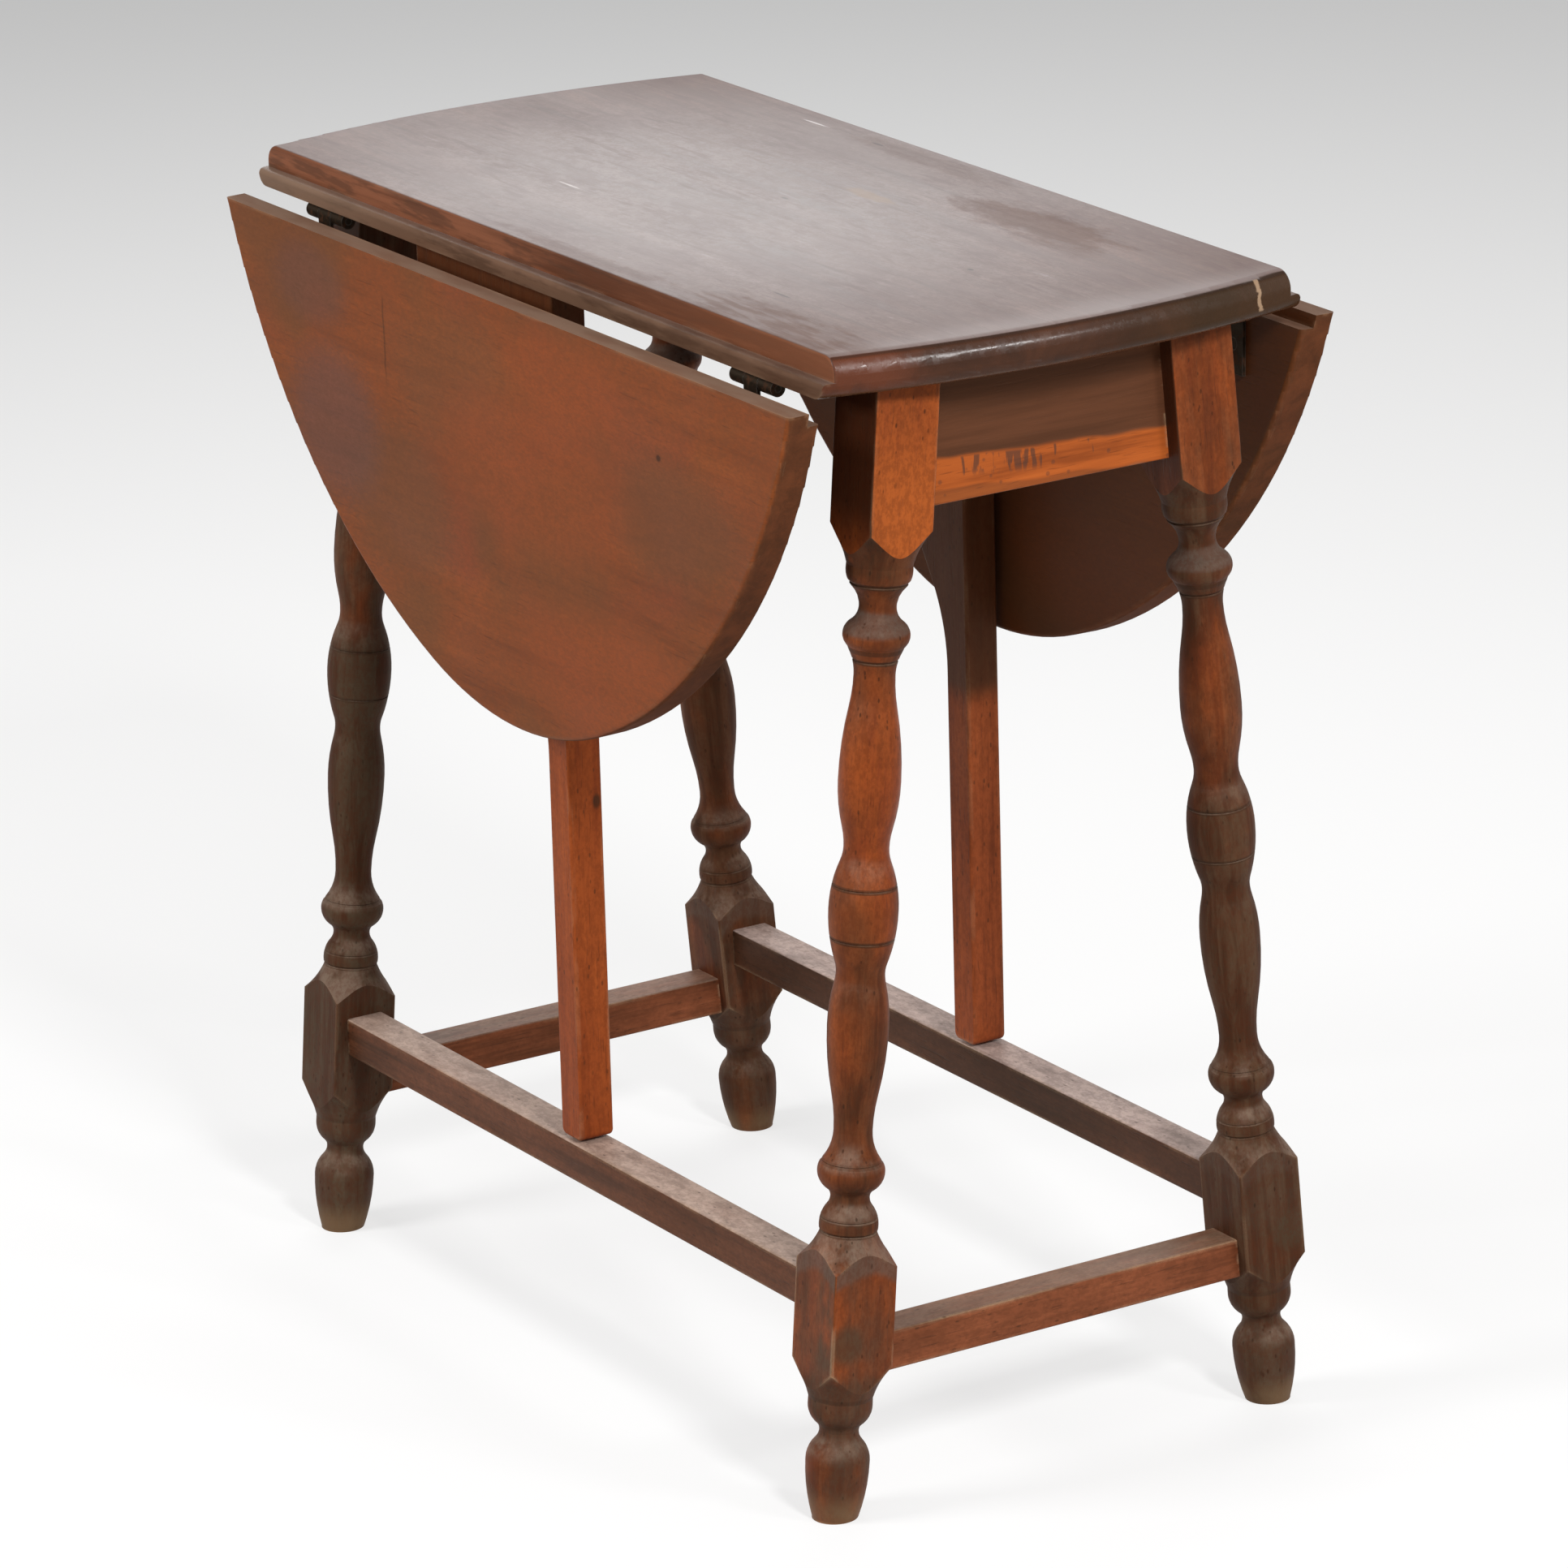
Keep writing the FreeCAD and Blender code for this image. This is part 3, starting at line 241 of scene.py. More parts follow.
class Wood(Graph):
    """Wood whose grain runs along one axis of the piece."""

    def __init__(self, name, along, seed, origin=(0, 0, 0), tilt=0.0):
        super().__init__(bpy.data.materials.new(name))
        place = self.add("Mapping", vector_type="TEXTURE")
        self.feed(place.inputs["Vector"], self.coordinates("Object"))
        place.inputs["Location"].default_value = origin
        place.inputs["Rotation"].default_value = (tilt, 0, 0)
        self.x, self.y, self.z = self.split(place.outputs[0])
        self.nx, self.ny, self.nz = self.split(self.coordinates("Normal"))
        axes = {"x": self.x, "y": self.y, "z": self.z}
        self.grain = axes.pop(along)
        self.cross = tuple(axes.values())
        self.seed = seed

    def stretched(self, across, along, shift=0.0):
        """Coordinates with that many waves a metre across and along the grain."""
        rows = ((self.cross[0], across), (self.cross[1], across), (self.grain, along))
        return self.join(*(self.scaled(value, waves, self.seed * step + shift)
                           for step, (value, waves) in enumerate(rows, start=1)))

    def timber(self, dark, middle, light, streak, mottle):
        """The clean wood's colour, its relief and its streaks."""
        streaks = self.noise(self.stretched(*streak), detail=5, roughness=0.62, distortion=0.4)
        blotch = self.noise(self.stretched(mottle, mottle / 3, 7), detail=2, roughness=0.5)
        fine = self.noise(self.stretched(*FINE_GRAIN), roughness=0.6)
        tone = self.scaled(blotch, 0.45, self.math("MULTIPLY", streaks, 0.55))
        tone = self.scaled(self.math("SUBTRACT", fine, 0.5), 0.22, tone)
        colour = self.mix(self.span(tone, *TONE_MIDDLE), dark, middle)
        colour = self.mix(self.span(tone, *TONE_LIGHT), colour, light)
        pores = self.span(self.noise(self.stretched(*PORES), detail=2), *PORE_LEVEL)
        colour = self.mix(self.mask(pores, 0.45), colour, darker(dark, 0.45))
        relief = self.scaled(pores, -0.8, self.math("MULTIPLY", fine, 0.5))
        return colour, relief, streaks

    def speckle(self, share):
        """Fine soft specks, about a millimetre and more across."""
        fine = self.noise(self.stretched(*FINE_SPECKS), detail=2, roughness=0.7)
        broad = self.noise(self.stretched(*BROAD_SPECKS), detail=2, roughness=0.6)
        both = self.scaled(fine, 0.5, self.math("MULTIPLY", broad, 0.5))
        return self.mask(self.span(both, 0.60, 0.40), share)

    def flecks(self, waves, small, large):
        """Scattered dots."""
        return self.fall(self.cells(self.stretched(*waves)), small, large)

    def worn(self, waves, low, high, *shares):
        """Patches along the arrises where the finish is rubbed off."""
        patches = self.span(self.noise(self.stretched(*waves)), low, high)
        return self.mask(self.arris(WORN_REACH), patches, *shares)


# A leg's own frame lies in its axis, with z up from the foot's end.
SPLAY = math.radians(4.69)
LEG_X = 0.252
FOOT_Y = 0.13422
AXIS_LONG = 0.591
TOE = (0.003, 0.020)
GREY_FOOT = (0.02, 0.2)
BLOCK_BOTTOM = (0.078, 0.088)
BLOCK_TOP = (0.150, 0.136)
BESIDE_ARRIS = (-0.002, 0.009)
BLOCK_STAIN = ((0.0095, 0.098), (0.013, 0.014))
TONGUE_RISE = (0.1335, 0.1390)
TONGUE_END = (0.150, 0.144)
TONGUE_CURVE = 23.0
TONGUE_RAGGED = 0.012
HEAVY_SOIL = (0.16, 0.24)
SOIL_LEVEL = (0.1, 0.95)
SOFT_SCORES = (0.16, 0.30)
HEAVY_DUST = (0.12, 0.53)
SCORES = (0.0655, 0.1525, 0.1595, 0.189, 0.305, 0.3321, 0.447, 0.4525, 0.486)
SCORE_HALF = 0.0016
RING = 0.4660
RING_HALF = 0.0085
UPPER_FACE = (0.485, 0.50)
UPPER_CLEAN = (0.495, 0.499)
UPPER_SHADE = (0.495, 0.53)
LIGHT_END_FADE = (0.53, 0.575)

# Shares of soil and of rubbed arrises at shares of the leg's height
SOIL_SHARES = ((0.0, 0.50), (0.06, 0.70), (0.12, 0.80), (0.14, 0.40), (0.22, 0.40), (0.27, 0.80),
               (0.33, 0.50), (0.37, 0.55), (0.48, 0.62), (0.53, 0.50), (0.60, 0.20), (0.72, 0.20),
               (0.765, 0.42), (0.80, 0.50), (0.828, 0.62), (0.842, 1.0), (0.868, 0.95), (0.888, 0.02),
               (1.0, 0.0))
RUBBED_SHARES = ((0.0, 0.25), (0.125, 0.25), (0.145, 0.9), (0.225, 0.9), (0.24, 0.1), (0.86, 0.05),
                 (0.885, 0.22), (1.0, 0.22))

LEG_STREAKS = (120, 7)
LEG_MOTTLE = 26
LEG_CLOUD = (34, 17, 5)
LEG_LOOSE_DUST = (55, 40, 9)
LEG_FLECKS = (260, 120, 2)
LEG_RUBS = (90, 30, 4)
LEG_LIGHT_END = (0.46, 0.108, 0.020)
LEG_SOOT = (0.062, 0.047, 0.029)
LEG_SHADE = (0.030, 0.013, 0.007)
LEG_DIRT = (0.062, 0.038, 0.021)
TONGUE_DUST = (0.125, 0.078, 0.058)
TONGUE_SOIL = (0.075, 0.055, 0.042)
RING_DUST = (0.105, 0.072, 0.056)
FOOT_GREY = (0.095, 0.060, 0.040)
TOE_OCHRE = (0.22, 0.135, 0.072)


class LegWood(Wood):
    """A turned leg: orange-red wood, soiled low down, darkened in its creases by grime and painted shade,
    dusty where it faces up.
    """

    def __init__(self, name, side_x, side_y, seed, soil, end_lightening):
        super().__init__(name, "z", seed, origin=(LEG_X * side_x, FOOT_Y * side_y, 0), tilt=SPLAY * side_y)
        self.soil = soil
        self.end_lightening = end_lightening
        self.clean, self.relief, self.streaks = self.timber(RED, between(RED, ORANGE), ORANGE, LEG_STREAKS,
                                                            LEG_MOTTLE)
        self.cloud = self.noise(self.stretched(*LEG_CLOUD), detail=4, roughness=0.6)
        self.height = self.math("DIVIDE", self.z, AXIS_LONG)
        self.out_x = self.math("MULTIPLY", self.nx, side_x)
        self.out_y = self.math("MULTIPLY", self.ny, side_y)
        self.beside_x = self.math("MULTIPLY", self.x, side_x)
        self.beside_y = self.math("MULTIPLY", self.y, side_y)
        self.flat_face = self.span(self.either(self.absolute(self.nx), self.absolute(self.ny)),
                                   *FACING_SQUARE)
        self.creased = self.crease()
        self.soiling = self.soil_amount()

    def material(self):
        colour = self.soiled()
        colour = self.dirty_block(colour)
        colour = self.dusty(colour)
        colour = self.marked(colour)
        rough = self.scaled(self.span(self.soiling, *SOIL_LEVEL), 0.22, 0.40)
        rough = self.scaled(self.creased, 0.2, rough)
        return self.shader(colour, rough, self.relief, strength=0.4, **SATIN)

    def soil_amount(self):
        """More in the turned stretches and low down, less on the upper block's faces."""
        kept_clean = self.mask(self.flat_face, self.span(self.z, *UPPER_CLEAN))
        level = self.mask(self.ramp(self.height, SOIL_SHARES), self.scaled(kept_clean, -0.95, 1.0))
        amount = self.math("ADD", level, self.span(self.z, *HEAVY_SOIL, 1.35 * self.soil, self.soil))
        return self.math("ADD", amount, self.scaled(self.cloud, 1.5, -0.75))

    def soiled(self):
        """The wood under soil and shade, with the upper block's outer end face lighter orange towards its
        tongue.
        """
        bright = self.mask(self.span(self.out_x, 0.5, 0.9), self.span(self.z, *UPPER_FACE),
                           self.span(self.z, *LIGHT_END_FADE, 1.0, 0.25), self.end_lightening)
        colour = self.mix(bright, self.clean, LEG_LIGHT_END)
        greyer = between(BROWN, LEG_SOOT, min(1.0, 1.6 * self.soil))
        soil = self.mix(self.span(self.streaks, *STREAKY), DARK, greyer)
        colour = self.mix(self.span(self.soiling, *SOIL_LEVEL, 0.0, 0.94), colour, soil)
        # the side faces are dark under the top's ledge
        shade = self.mask(self.span(self.absolute(self.out_y), 0.35, 0.75), self.span(self.z, *UPPER_SHADE))
        colour = self.mix(self.mask(shade, 0.86), colour, LEG_SHADE)
        # grime and painted shade: darker deep in the creases
        return self.mix(self.mask(self.creased, 0.8), colour, darker(GRIME_AND_SHADE, 0.5))

    def dirty_block(self, colour):
        """Dirt beside the low block's outer arris, and the worn, dusty ends of its tongues."""
        block = self.mask(self.span(self.z, *BLOCK_BOTTOM), self.span(self.z, *BLOCK_TOP))
        beside = self.mask(self.span(self.out_y, *FACING), self.span(self.beside_x, *BESIDE_ARRIS),
                           self.span(self.cloud, 0.3, 0.5))
        stain = self.mask(self.spot(self.beside_y, self.z, *BLOCK_STAIN), self.span(self.out_x, *FACING))
        colour = self.mix(self.mask(self.either(beside, stain), block, 0.8), colour, LEG_DIRT)
        aside = self.math("MINIMUM", self.absolute(self.x), self.absolute(self.y))
        rise = self.scaled(self.math("MULTIPLY", aside, aside), TONGUE_CURVE, self.z)
        rise = self.scaled(self.math("SUBTRACT", self.cloud, 0.3), TONGUE_RAGGED, rise)
        tongue = self.mask(self.span(rise, *TONGUE_RISE), self.span(self.z, *TONGUE_END), self.flat_face,
                           0.8 - self.soil)
        return self.mix(tongue, colour, between(TONGUE_DUST, TONGUE_SOIL, self.soil))

    def dusty(self, colour):
        """Dust on what faces up, more low down, and a grey foot."""
        loose = self.span(self.noise(self.stretched(*LEG_LOOSE_DUST), detail=4, roughness=0.65), 0.34, 0.62)
        low = self.span(self.z, *HEAVY_DUST, 1.0, 0.8)
        colour = self.mix(self.mask(self.span(self.nz, 0.10, 0.60), loose, low, 0.65), colour, DUST)
        ring = self.mask(self.lines(self.z, [RING], RING_HALF), self.span(self.nz, 0.05, 0.4), 0.75)
        colour = self.mix(ring, colour, RING_DUST)
        grey = self.mask(self.fall(self.z, *GREY_FOOT), self.span(self.cloud, 0.35, 0.65), 0.6)
        return self.mix(grey, colour, FOOT_GREY)

    def marked(self, colour):
        """Flecks, specks, scored lines darkened by dirt and painted shade, rubbed arrises and an ochre toe.
        """
        dots = self.mask(self.flecks(LEG_FLECKS, 0.10, 0.20), self.span(self.cloud, *CLOUDY), 0.7)
        colour = self.mix(dots, colour, darker(DARK, 0.5))
        colour = self.mix(self.speckle(0.34), colour, darker(RED, 0.35))
        # the scored grooves darkened by dirt and painted shade
        scored_dirt_and_shade = self.mask(self.lines(self.z, SCORES, SCORE_HALF), self.span(self.z, *SOFT_SCORES, 0.45, 1.0),
                           0.64 - self.soil * 0.50)
        colour = self.mix(scored_dirt_and_shade, colour, darker(DARK, 0.6))
        rubbed = self.worn(LEG_RUBS, 0.42, 0.56, self.ramp(self.height, RUBBED_SHARES),
                           max(0.25, 1.0 - 1.5 * self.soil))
        colour = self.mix(rubbed, colour, PALE)
        toe = self.mask(self.fall(self.z, *TOE), self.span(self.cloud, 0.34, 0.56, 0.45, 1.0), 0.65)
        return self.mix(toe, colour, TOE_OCHRE)


RAIL_STREAKS = (120, 6)
RAIL_MOTTLE = 22
RAIL_CLOUD = (30, 12, 5)
RAIL_LOOSE_DUST = (70, 22, 9)
RAIL_RUBS = (110, 24, 4)
RAIL_FLECKS = (230, 100, 2)
RAIL_DUST_AND_SHEEN = (0.30, 0.21, 0.155)
RAIL_SHADE = ((0.040, 0.020, 0.009), (0.085, 0.038, 0.017))
KNOT_REACH = (0.0032, 0.0055)


def rail_material(name, along, seed, tones, soil=0.4, dust=0.75, dusty=RAIL_DUST_AND_SHEEN, knot=None, shade=None):
    """A plain rail or bar, with dust and a painted sheen on top, a painted shadow above a given height where
    asked, and worn pale along its arrises.
    """
    w = Wood(name, along, seed)
    clean, relief, streaks = w.timber(*tones, RAIL_STREAKS, RAIL_MOTTLE)
    cloud = w.noise(w.stretched(*RAIL_CLOUD), detail=4, roughness=0.6)
    soiled = w.mix(w.span(streaks, *STREAKY), DARK, darker(tones[0], 0.8))
    colour = w.mix(w.span(w.math("ADD", cloud, soil), 0.6, 1.25, 0.0, 0.85), clean, soiled)
    if knot is not None:
        colour = w.mix(w.mask(w.spot(w.y, w.z, knot, KNOT_REACH), 0.85), colour, DARK)
    # painted shadow of the table: darker above the given height
    if shade is not None:
        colour = w.mix(w.mask(w.span(w.z, *shade), 0.8), colour, w.mix(streaks, *RAIL_SHADE))
    # dust and a painted sheen on what faces up
    loose = w.span(w.noise(w.stretched(*RAIL_LOOSE_DUST), detail=5, roughness=0.65), 0.26, 0.58, 0.5, 1.0)
    colour = w.mix(w.mask(w.span(w.nz, 0.35, 0.8), loose, dust), colour, dusty)
    colour = w.mix(w.worn(RAIL_RUBS, 0.44, 0.58, 0.55), colour, PALE)
    dots = w.mask(w.flecks(RAIL_FLECKS, 0.09, 0.18), w.span(cloud, *CLOUDY), 0.6)
    colour = w.mix(dots, colour, DARK)
    colour = w.mix(w.speckle(0.3), colour, darker(tones[0], 0.45))
    return w.shader(colour, w.scaled(cloud, 0.25, 0.38), relief, strength=0.4, **SATIN)


APRON_TONES = ((0.27, 0.060, 0.013), (0.42, 0.096, 0.019), (0.52, 0.125, 0.024))
APRON_DARK = ((0.082, 0.030, 0.014), (0.130, 0.047, 0.022))
APRON_STAIN = (0.070, 0.036, 0.026)
APRON_FOOT = (0.10, 0.040, 0.018)
APRON_STREAKS = (110, 6)
APRON_MOTTLE = 18
APRON_WANDER = (8, 14, 6)
APRON_FLECKS = (120, 120, 3)
DRIP_WAVES_Y = 330
DRIP_WAVES_Z = 55

# Heights on an apron, measured along its sloping line
LINE_SLOPE = 0.051
LINE_WANDER = 0.010
DARK_ABOVE = (0.5385, 0.5415)
STAINS_BELOW = (0.5400, 0.5385)
DRIPS_ABOVE = (0.527, 0.532)
FOOT_BELOW = (0.5225, 0.5245)
DRIPS_Y = -0.026
DRIPS_REACH = (0.008, 0.034)


def apron_material(name, seed):
    """Dark above a wandering line and orange below it, with drips and stains."""
    w = Wood(name, "y", seed)
    clean, relief, streaks = w.timber(*APRON_TONES, APRON_STREAKS, APRON_MOTTLE)
    wander = w.scaled(w.noise(w.stretched(*APRON_WANDER)), LINE_WANDER, -LINE_WANDER / 2)
    line = w.math("ADD", w.scaled(w.y, LINE_SLOPE, w.z), wander)
    colour = w.mix(w.span(line, *DARK_ABOVE), clean, w.mix(w.span(streaks, 0.30, 0.72), *APRON_DARK))
    narrow = w.join(seed, w.math("MULTIPLY", w.y, DRIP_WAVES_Y), w.math("MULTIPLY", w.z, DRIP_WAVES_Z))
    near = w.fall(w.absolute(w.math("SUBTRACT", w.y, DRIPS_Y)), *DRIPS_REACH)
    drips = w.span(w.scaled(near, 0.20, w.noise(narrow, detail=2)), 0.66, 0.72)
    few = w.mask(w.flecks(APRON_FLECKS, 0.10, 0.18), 0.6)
    stain = w.either(w.mask(drips, w.span(line, *DRIPS_ABOVE)), few)
    colour = w.mix(w.mask(stain, w.span(line, *STAINS_BELOW), 0.72), colour, APRON_STAIN)
    colour = w.mix(w.span(line, *FOOT_BELOW, 0.45, 0.0), colour, APRON_FOOT)
    colour = w.mix(w.worn(RAIL_RUBS, 0.48, 0.6, 0.4), colour, PALE)
    return w.shader(colour, 0.5, relief, strength=0.35, **SATIN)


TOP_TONES = ((0.050, 0.023, 0.015), (0.100, 0.046, 0.030), (0.155, 0.078, 0.055))
TOP_STREAKS = (70, 3.2)
TOP_MOTTLE = 10
TOP_WIDE = (16, 4.5, 2)
TOP_LONG = (105, 6, 13)
TOP_SHORT = (160, 26, 17)
TOP_THIN = (240, 11, 19)
TOP_RAGGED = (85, 34, 4)
TOP_DULL = (28, 14, 31)
BOARD_RUBS = (120, 20, 4)
BLOOM_AND_SHEEN = (0.33, 0.27, 0.26)
BLOOM_AND_SHEEN_LIGHT = (0.40, 0.34, 0.33)
BLOOM_END = (0.36, 0.31, 0.30)
FILM_DARK = (0.100, 0.052, 0.046)
FILM_SPECKS = (0.125, 0.072, 0.062)
FILM_THREADS = (0.115, 0.078, 0.072)
FILM_DULL = (0.120, 0.068, 0.060)
TOP_STAIN = (0.122, 0.060, 0.040)
TOP_OCHRE = (0.22, 0.125, 0.065)
TOP_MARK = (0.035, 0.018, 0.015)
TOP_SCRATCH = (0.62, 0.57, 0.55)
WALL_TONES = ((0.115, 0.040, 0.019), (0.250, 0.092, 0.046))
WALL_SMUDGE = (0.085, 0.037, 0.021)
WALL_END = (0.240, 0.086, 0.040)
LEDGE_TONES = ((0.060, 0.028, 0.015), (0.150, 0.085, 0.053))
LEDGE_SMUDGE = (0.070, 0.035, 0.020)
LEDGE_DUST = (0.270, 0.180, 0.125)
NOSE_TONES = ((0.034, 0.013, 0.006), (0.080, 0.028, 0.012))
NOSE_RUDDY = (0.135, 0.036, 0.015)
NOSE_OLIVE = (0.040, 0.023, 0.009)
NOSE_RIM = (0.030, 0.015, 0.010)
CHIP_CREAM = (0.40, 0.26, 0.16)
UNDER_TONES = ((0.055, 0.024, 0.011), (0.14, 0.056, 0.024))
TOP_RUBBED = (0.34, 0.22, 0.14)

# Ovals on the top as middle, reach and share
TOP_STAINS = (((0.125, 0.088), (0.085, 0.024), 1.0), ((0.160, 0.075), (0.05, 0.014), 0.5),
              ((0.030, -0.127), (0.09, 0.009), 0.6), ((-0.02, 0.12), (0.10, 0.012), 0.4))
CORNER_STAIN = ((0.205, -0.120), (0.12, 0.024))
OCHRE_STAIN = ((0.022, 0.055), (0.03, 0.006))
TOP_MARKS = (((-0.0036, 0.0174), (0.004, 0.0016), 0.75), ((0.1788, 0.0111), (0.003, 0.0018), 0.75),
             ((-0.072, 0.1195), (0.007, 0.0012), 0.75), ((0.163, -0.09), (0.010, 0.0010), 0.75))
SCRATCHES = (((-0.1328, 0.1197), (0.016, 0.0011), 0.8), ((-0.0975, -0.0557), (0.012, 0.0010), 0.8))

# Zones of the top: ramps in x and y, and in z for the ledge
BLOOM_RIGHT_X = (0.02, 0.29)
BLOOM_LEFT_X = (-0.29, -0.10)
BLOOM_FRONT_Y = (-0.135, -0.06)
BLOOM_REAR_Y = (0.0, 0.135)
BLOOM_END_X = (0.255, 0.285)
RIM_Y = (0.120, 0.139)
WALL_END_X = (0.05, 0.26)
LEDGE_Y = (0.1345, 0.1355)
LEDGE_Z = (0.5985, 0.597)
LEDGE_DUST_X = (-0.10, -0.26)
NOSE_RUDDY_Y = (-0.075, -0.115)
NOSE_OLIVE_Y = (-0.01, 0.09)
SHINE_Y = (-0.03, 0.09)
CHIP_Y = 0.109
CHIP_HALF = (0.0007, 0.0016)
CHIP_RAGGED = 0.006
RIGHT_END_X = (0.0, 0.1)

# Zones of the top told apart by its normal
FLAT_NZ = (0.70, 0.93)
NOSE_NX = (0.34, 0.44)
CHIP_NZ = (-0.4, -0.2)
SHINE_BEGINS_NZ = (-0.1, 0.25)
SHINE_ENDS_NZ = (0.66, 0.82)


class TopWood(Wood):
    """Dark old polish under a grey bloom that is partly a painted sheen, with moulded edges: reddish walls,
    dusty ledges, brown noses.
    """

    def __init__(self, name):
        super().__init__(name, "x", 3.1)
        self.clean, self.relief, self.streaks = self.timber(*TOP_TONES, TOP_STREAKS, TOP_MOTTLE)
        self.wide = self.noise(self.stretched(*TOP_WIDE), detail=5, roughness=0.62, distortion=0.5)
        self.short = self.noise(self.stretched(*TOP_SHORT), roughness=0.6)
        self.thin = self.noise(self.stretched(*TOP_THIN), roughness=0.6)
        self.ragged = self.scaled(self.noise(self.stretched(*TOP_RAGGED), detail=5, roughness=0.7), 1.8, -0.9)
        self.flat = self.span(self.nz, *FLAT_NZ)
        self.nose = self.span(self.absolute(self.nx), *NOSE_NX)
        # the bloom and its painted sheen are thickest in the middle
        self.middle = self.mask(self.span(self.x, *BLOOM_RIGHT_X, 1.0, 0.48),
                                self.span(self.x, *BLOOM_LEFT_X, 0.55, 1.0),
                                self.span(self.y, *BLOOM_FRONT_Y, 0.78, 1.0),
                                self.span(self.y, *BLOOM_REAR_Y, 1.0, 0.60))
        self.stains = self.stain_mask()

    def material(self):
        colour = self.film()
        colour = self.stained(colour)
        colour = self.mix(self.span(self.absolute(self.ny), *FACING), colour, self.wall())
        lip = self.mask(self.span(self.absolute(self.y), *LEDGE_Y), self.span(self.z, *LEDGE_Z))
        colour = self.mix(self.mask(lip, 0.9), colour, self.ledge())
        colour = self.mix(self.nose, colour, self.nose_colour())
        colour = self.chipped(colour)
        colour = self.mix(self.fall(self.nz, *FACING_AWAY), colour, self.mix(self.streaks, *UNDER_TONES))
        colour = self.mix(self.worn(BOARD_RUBS, 0.5, 0.6, 0.3), colour, TOP_RUBBED)
        return self.shader(colour, self.roughness(), self.relief, strength=0.22,
                           Specular_IOR_Level=self.gloss())

    def on_flat(self, colour, tint, share, *masks):
        return self.mix(self.mask(*masks, self.flat, share), colour, tint)

    def film(self):
        """The flat: polish, bloom with a painted sheen, streaks and specks."""
        long = self.noise(self.stretched(*TOP_LONG), detail=5, roughness=0.7, distortion=0.3)
        dull = self.noise(self.stretched(*TOP_DULL), detail=5, roughness=0.7)
        # grey bloom and painted sheen
        colour = self.on_flat(self.clean, BLOOM_AND_SHEEN, 0.72, self.span(self.wide, 0.3, 0.62, 0.55, 1.0),
                              self.span(long, 0.25, 0.75, 0.70, 1.0), self.middle)
        colour = self.on_flat(colour, FILM_DARK, 0.58, self.span(self.short, 0.54, 0.68))
        colour = self.on_flat(colour, BLOOM_AND_SHEEN_LIGHT, 0.4, self.span(self.short, 0.34, 0.22))
        colour = self.mix(self.mask(self.speckle(0.5), self.flat), colour, FILM_SPECKS)
        colour = self.on_flat(colour, FILM_THREADS, 0.5, self.span(self.thin, 0.60, 0.70),
                              self.span(self.wide, 0.35, 0.60))
        return self.on_flat(colour, FILM_DULL, 0.46, self.span(dull, 0.48, 0.64))

    def stain_mask(self):
        corner = self.mask(self.spot(self.x, self.y, *CORNER_STAIN, self.ragged),
                           self.span(self.short, 0.40, 0.56, 0.15, 1.0))
        return self.either(self.spots(self.x, self.y, TOP_STAINS, self.ragged), corner)

    def stained(self, colour):
        """Stains, a ragged dark rim along the sides, small marks and scratches."""
        rim = self.mask(self.span(self.absolute(self.y), *RIM_Y), self.span(self.ragged, 0.0, 0.25), 0.85)
        colour = self.on_flat(colour, TOP_STAIN, 0.54, self.either(self.stains, rim))
        colour = self.on_flat(colour, TOP_OCHRE, 0.6, self.spot(self.x, self.y, *OCHRE_STAIN, self.ragged))
        colour = self.mix(self.spots(self.x, self.y, TOP_MARKS), colour, TOP_MARK)
        colour = self.mix(self.spots(self.x, self.y, SCRATCHES, self.ragged), colour, TOP_SCRATCH)
        return self.on_flat(colour, BLOOM_END, 0.35, self.span(self.x, *BLOOM_END_X))

    def wall(self):
        """The upright between the flat and the ledge."""
        colour = self.mix(self.span(self.streaks, *STREAKY), *WALL_TONES)
        colour = self.mix(self.span(self.short, 0.47, 0.62, 0.0, 0.6), colour, WALL_SMUDGE)
        return self.mix(self.span(self.x, *WALL_END_X, 0.0, 0.6), colour, WALL_END)

    def ledge(self):
        """The rule joint's ledge, dustier towards the far end."""
        colour = self.mix(self.span(self.wide, 0.36, 0.6), *LEDGE_TONES)
        colour = self.mix(self.span(self.short, 0.46, 0.64, 0.0, 0.6), colour, LEDGE_SMUDGE)
        return self.mix(self.span(self.x, *LEDGE_DUST_X, 0.0, 0.6), colour, LEDGE_DUST)

    def nose_colour(self):
        """The rounded ends: brown, redder towards the front leaf, with a dark line along the flat."""
        colour = self.mix(self.span(self.wide, 0.30, 0.72), *NOSE_TONES)
        ruddy = self.mask(self.span(self.y, *NOSE_RUDDY_Y), self.span(self.wide, 0.35, 0.55), 0.75)
        colour = self.mix(ruddy, colour, NOSE_RUDDY)
        colour = self.mix(self.span(self.y, *NOSE_OLIVE_Y, 0.0, 0.6), colour, NOSE_OLIVE)
        rim_line = self.mask(self.nose, self.span(self.absolute(self.nx), 0.66, 0.50), 0.65)
        return self.mix(rim_line, colour, NOSE_RIM)

    def chipped(self, colour):
        """A cream chip down the nose near the rear leaf."""
        off = self.absolute(self.scaled(self.short, -CHIP_RAGGED, self.math("SUBTRACT", self.y, CHIP_Y)))
        chip = self.mask(self.fall(off, *CHIP_HALF), self.nose, self.span(self.x, *RIGHT_END_X),
                         self.span(self.nz, *CHIP_NZ), 0.85)
        return self.mix(chip, colour, CHIP_CREAM)

    def roughness(self):
        """Smoother on the nose, but for its fine threads."""
        rough = self.scaled(self.wide, 0.22, 0.30)
        rough = self.scaled(self.stains, 0.10, rough)
        rough = self.math("MAXIMUM", self.scaled(self.nose, -0.20, rough), 0.19)
        return self.scaled(self.mask(self.nose, self.span(self.thin, 0.48, 0.60)), 0.16, rough)

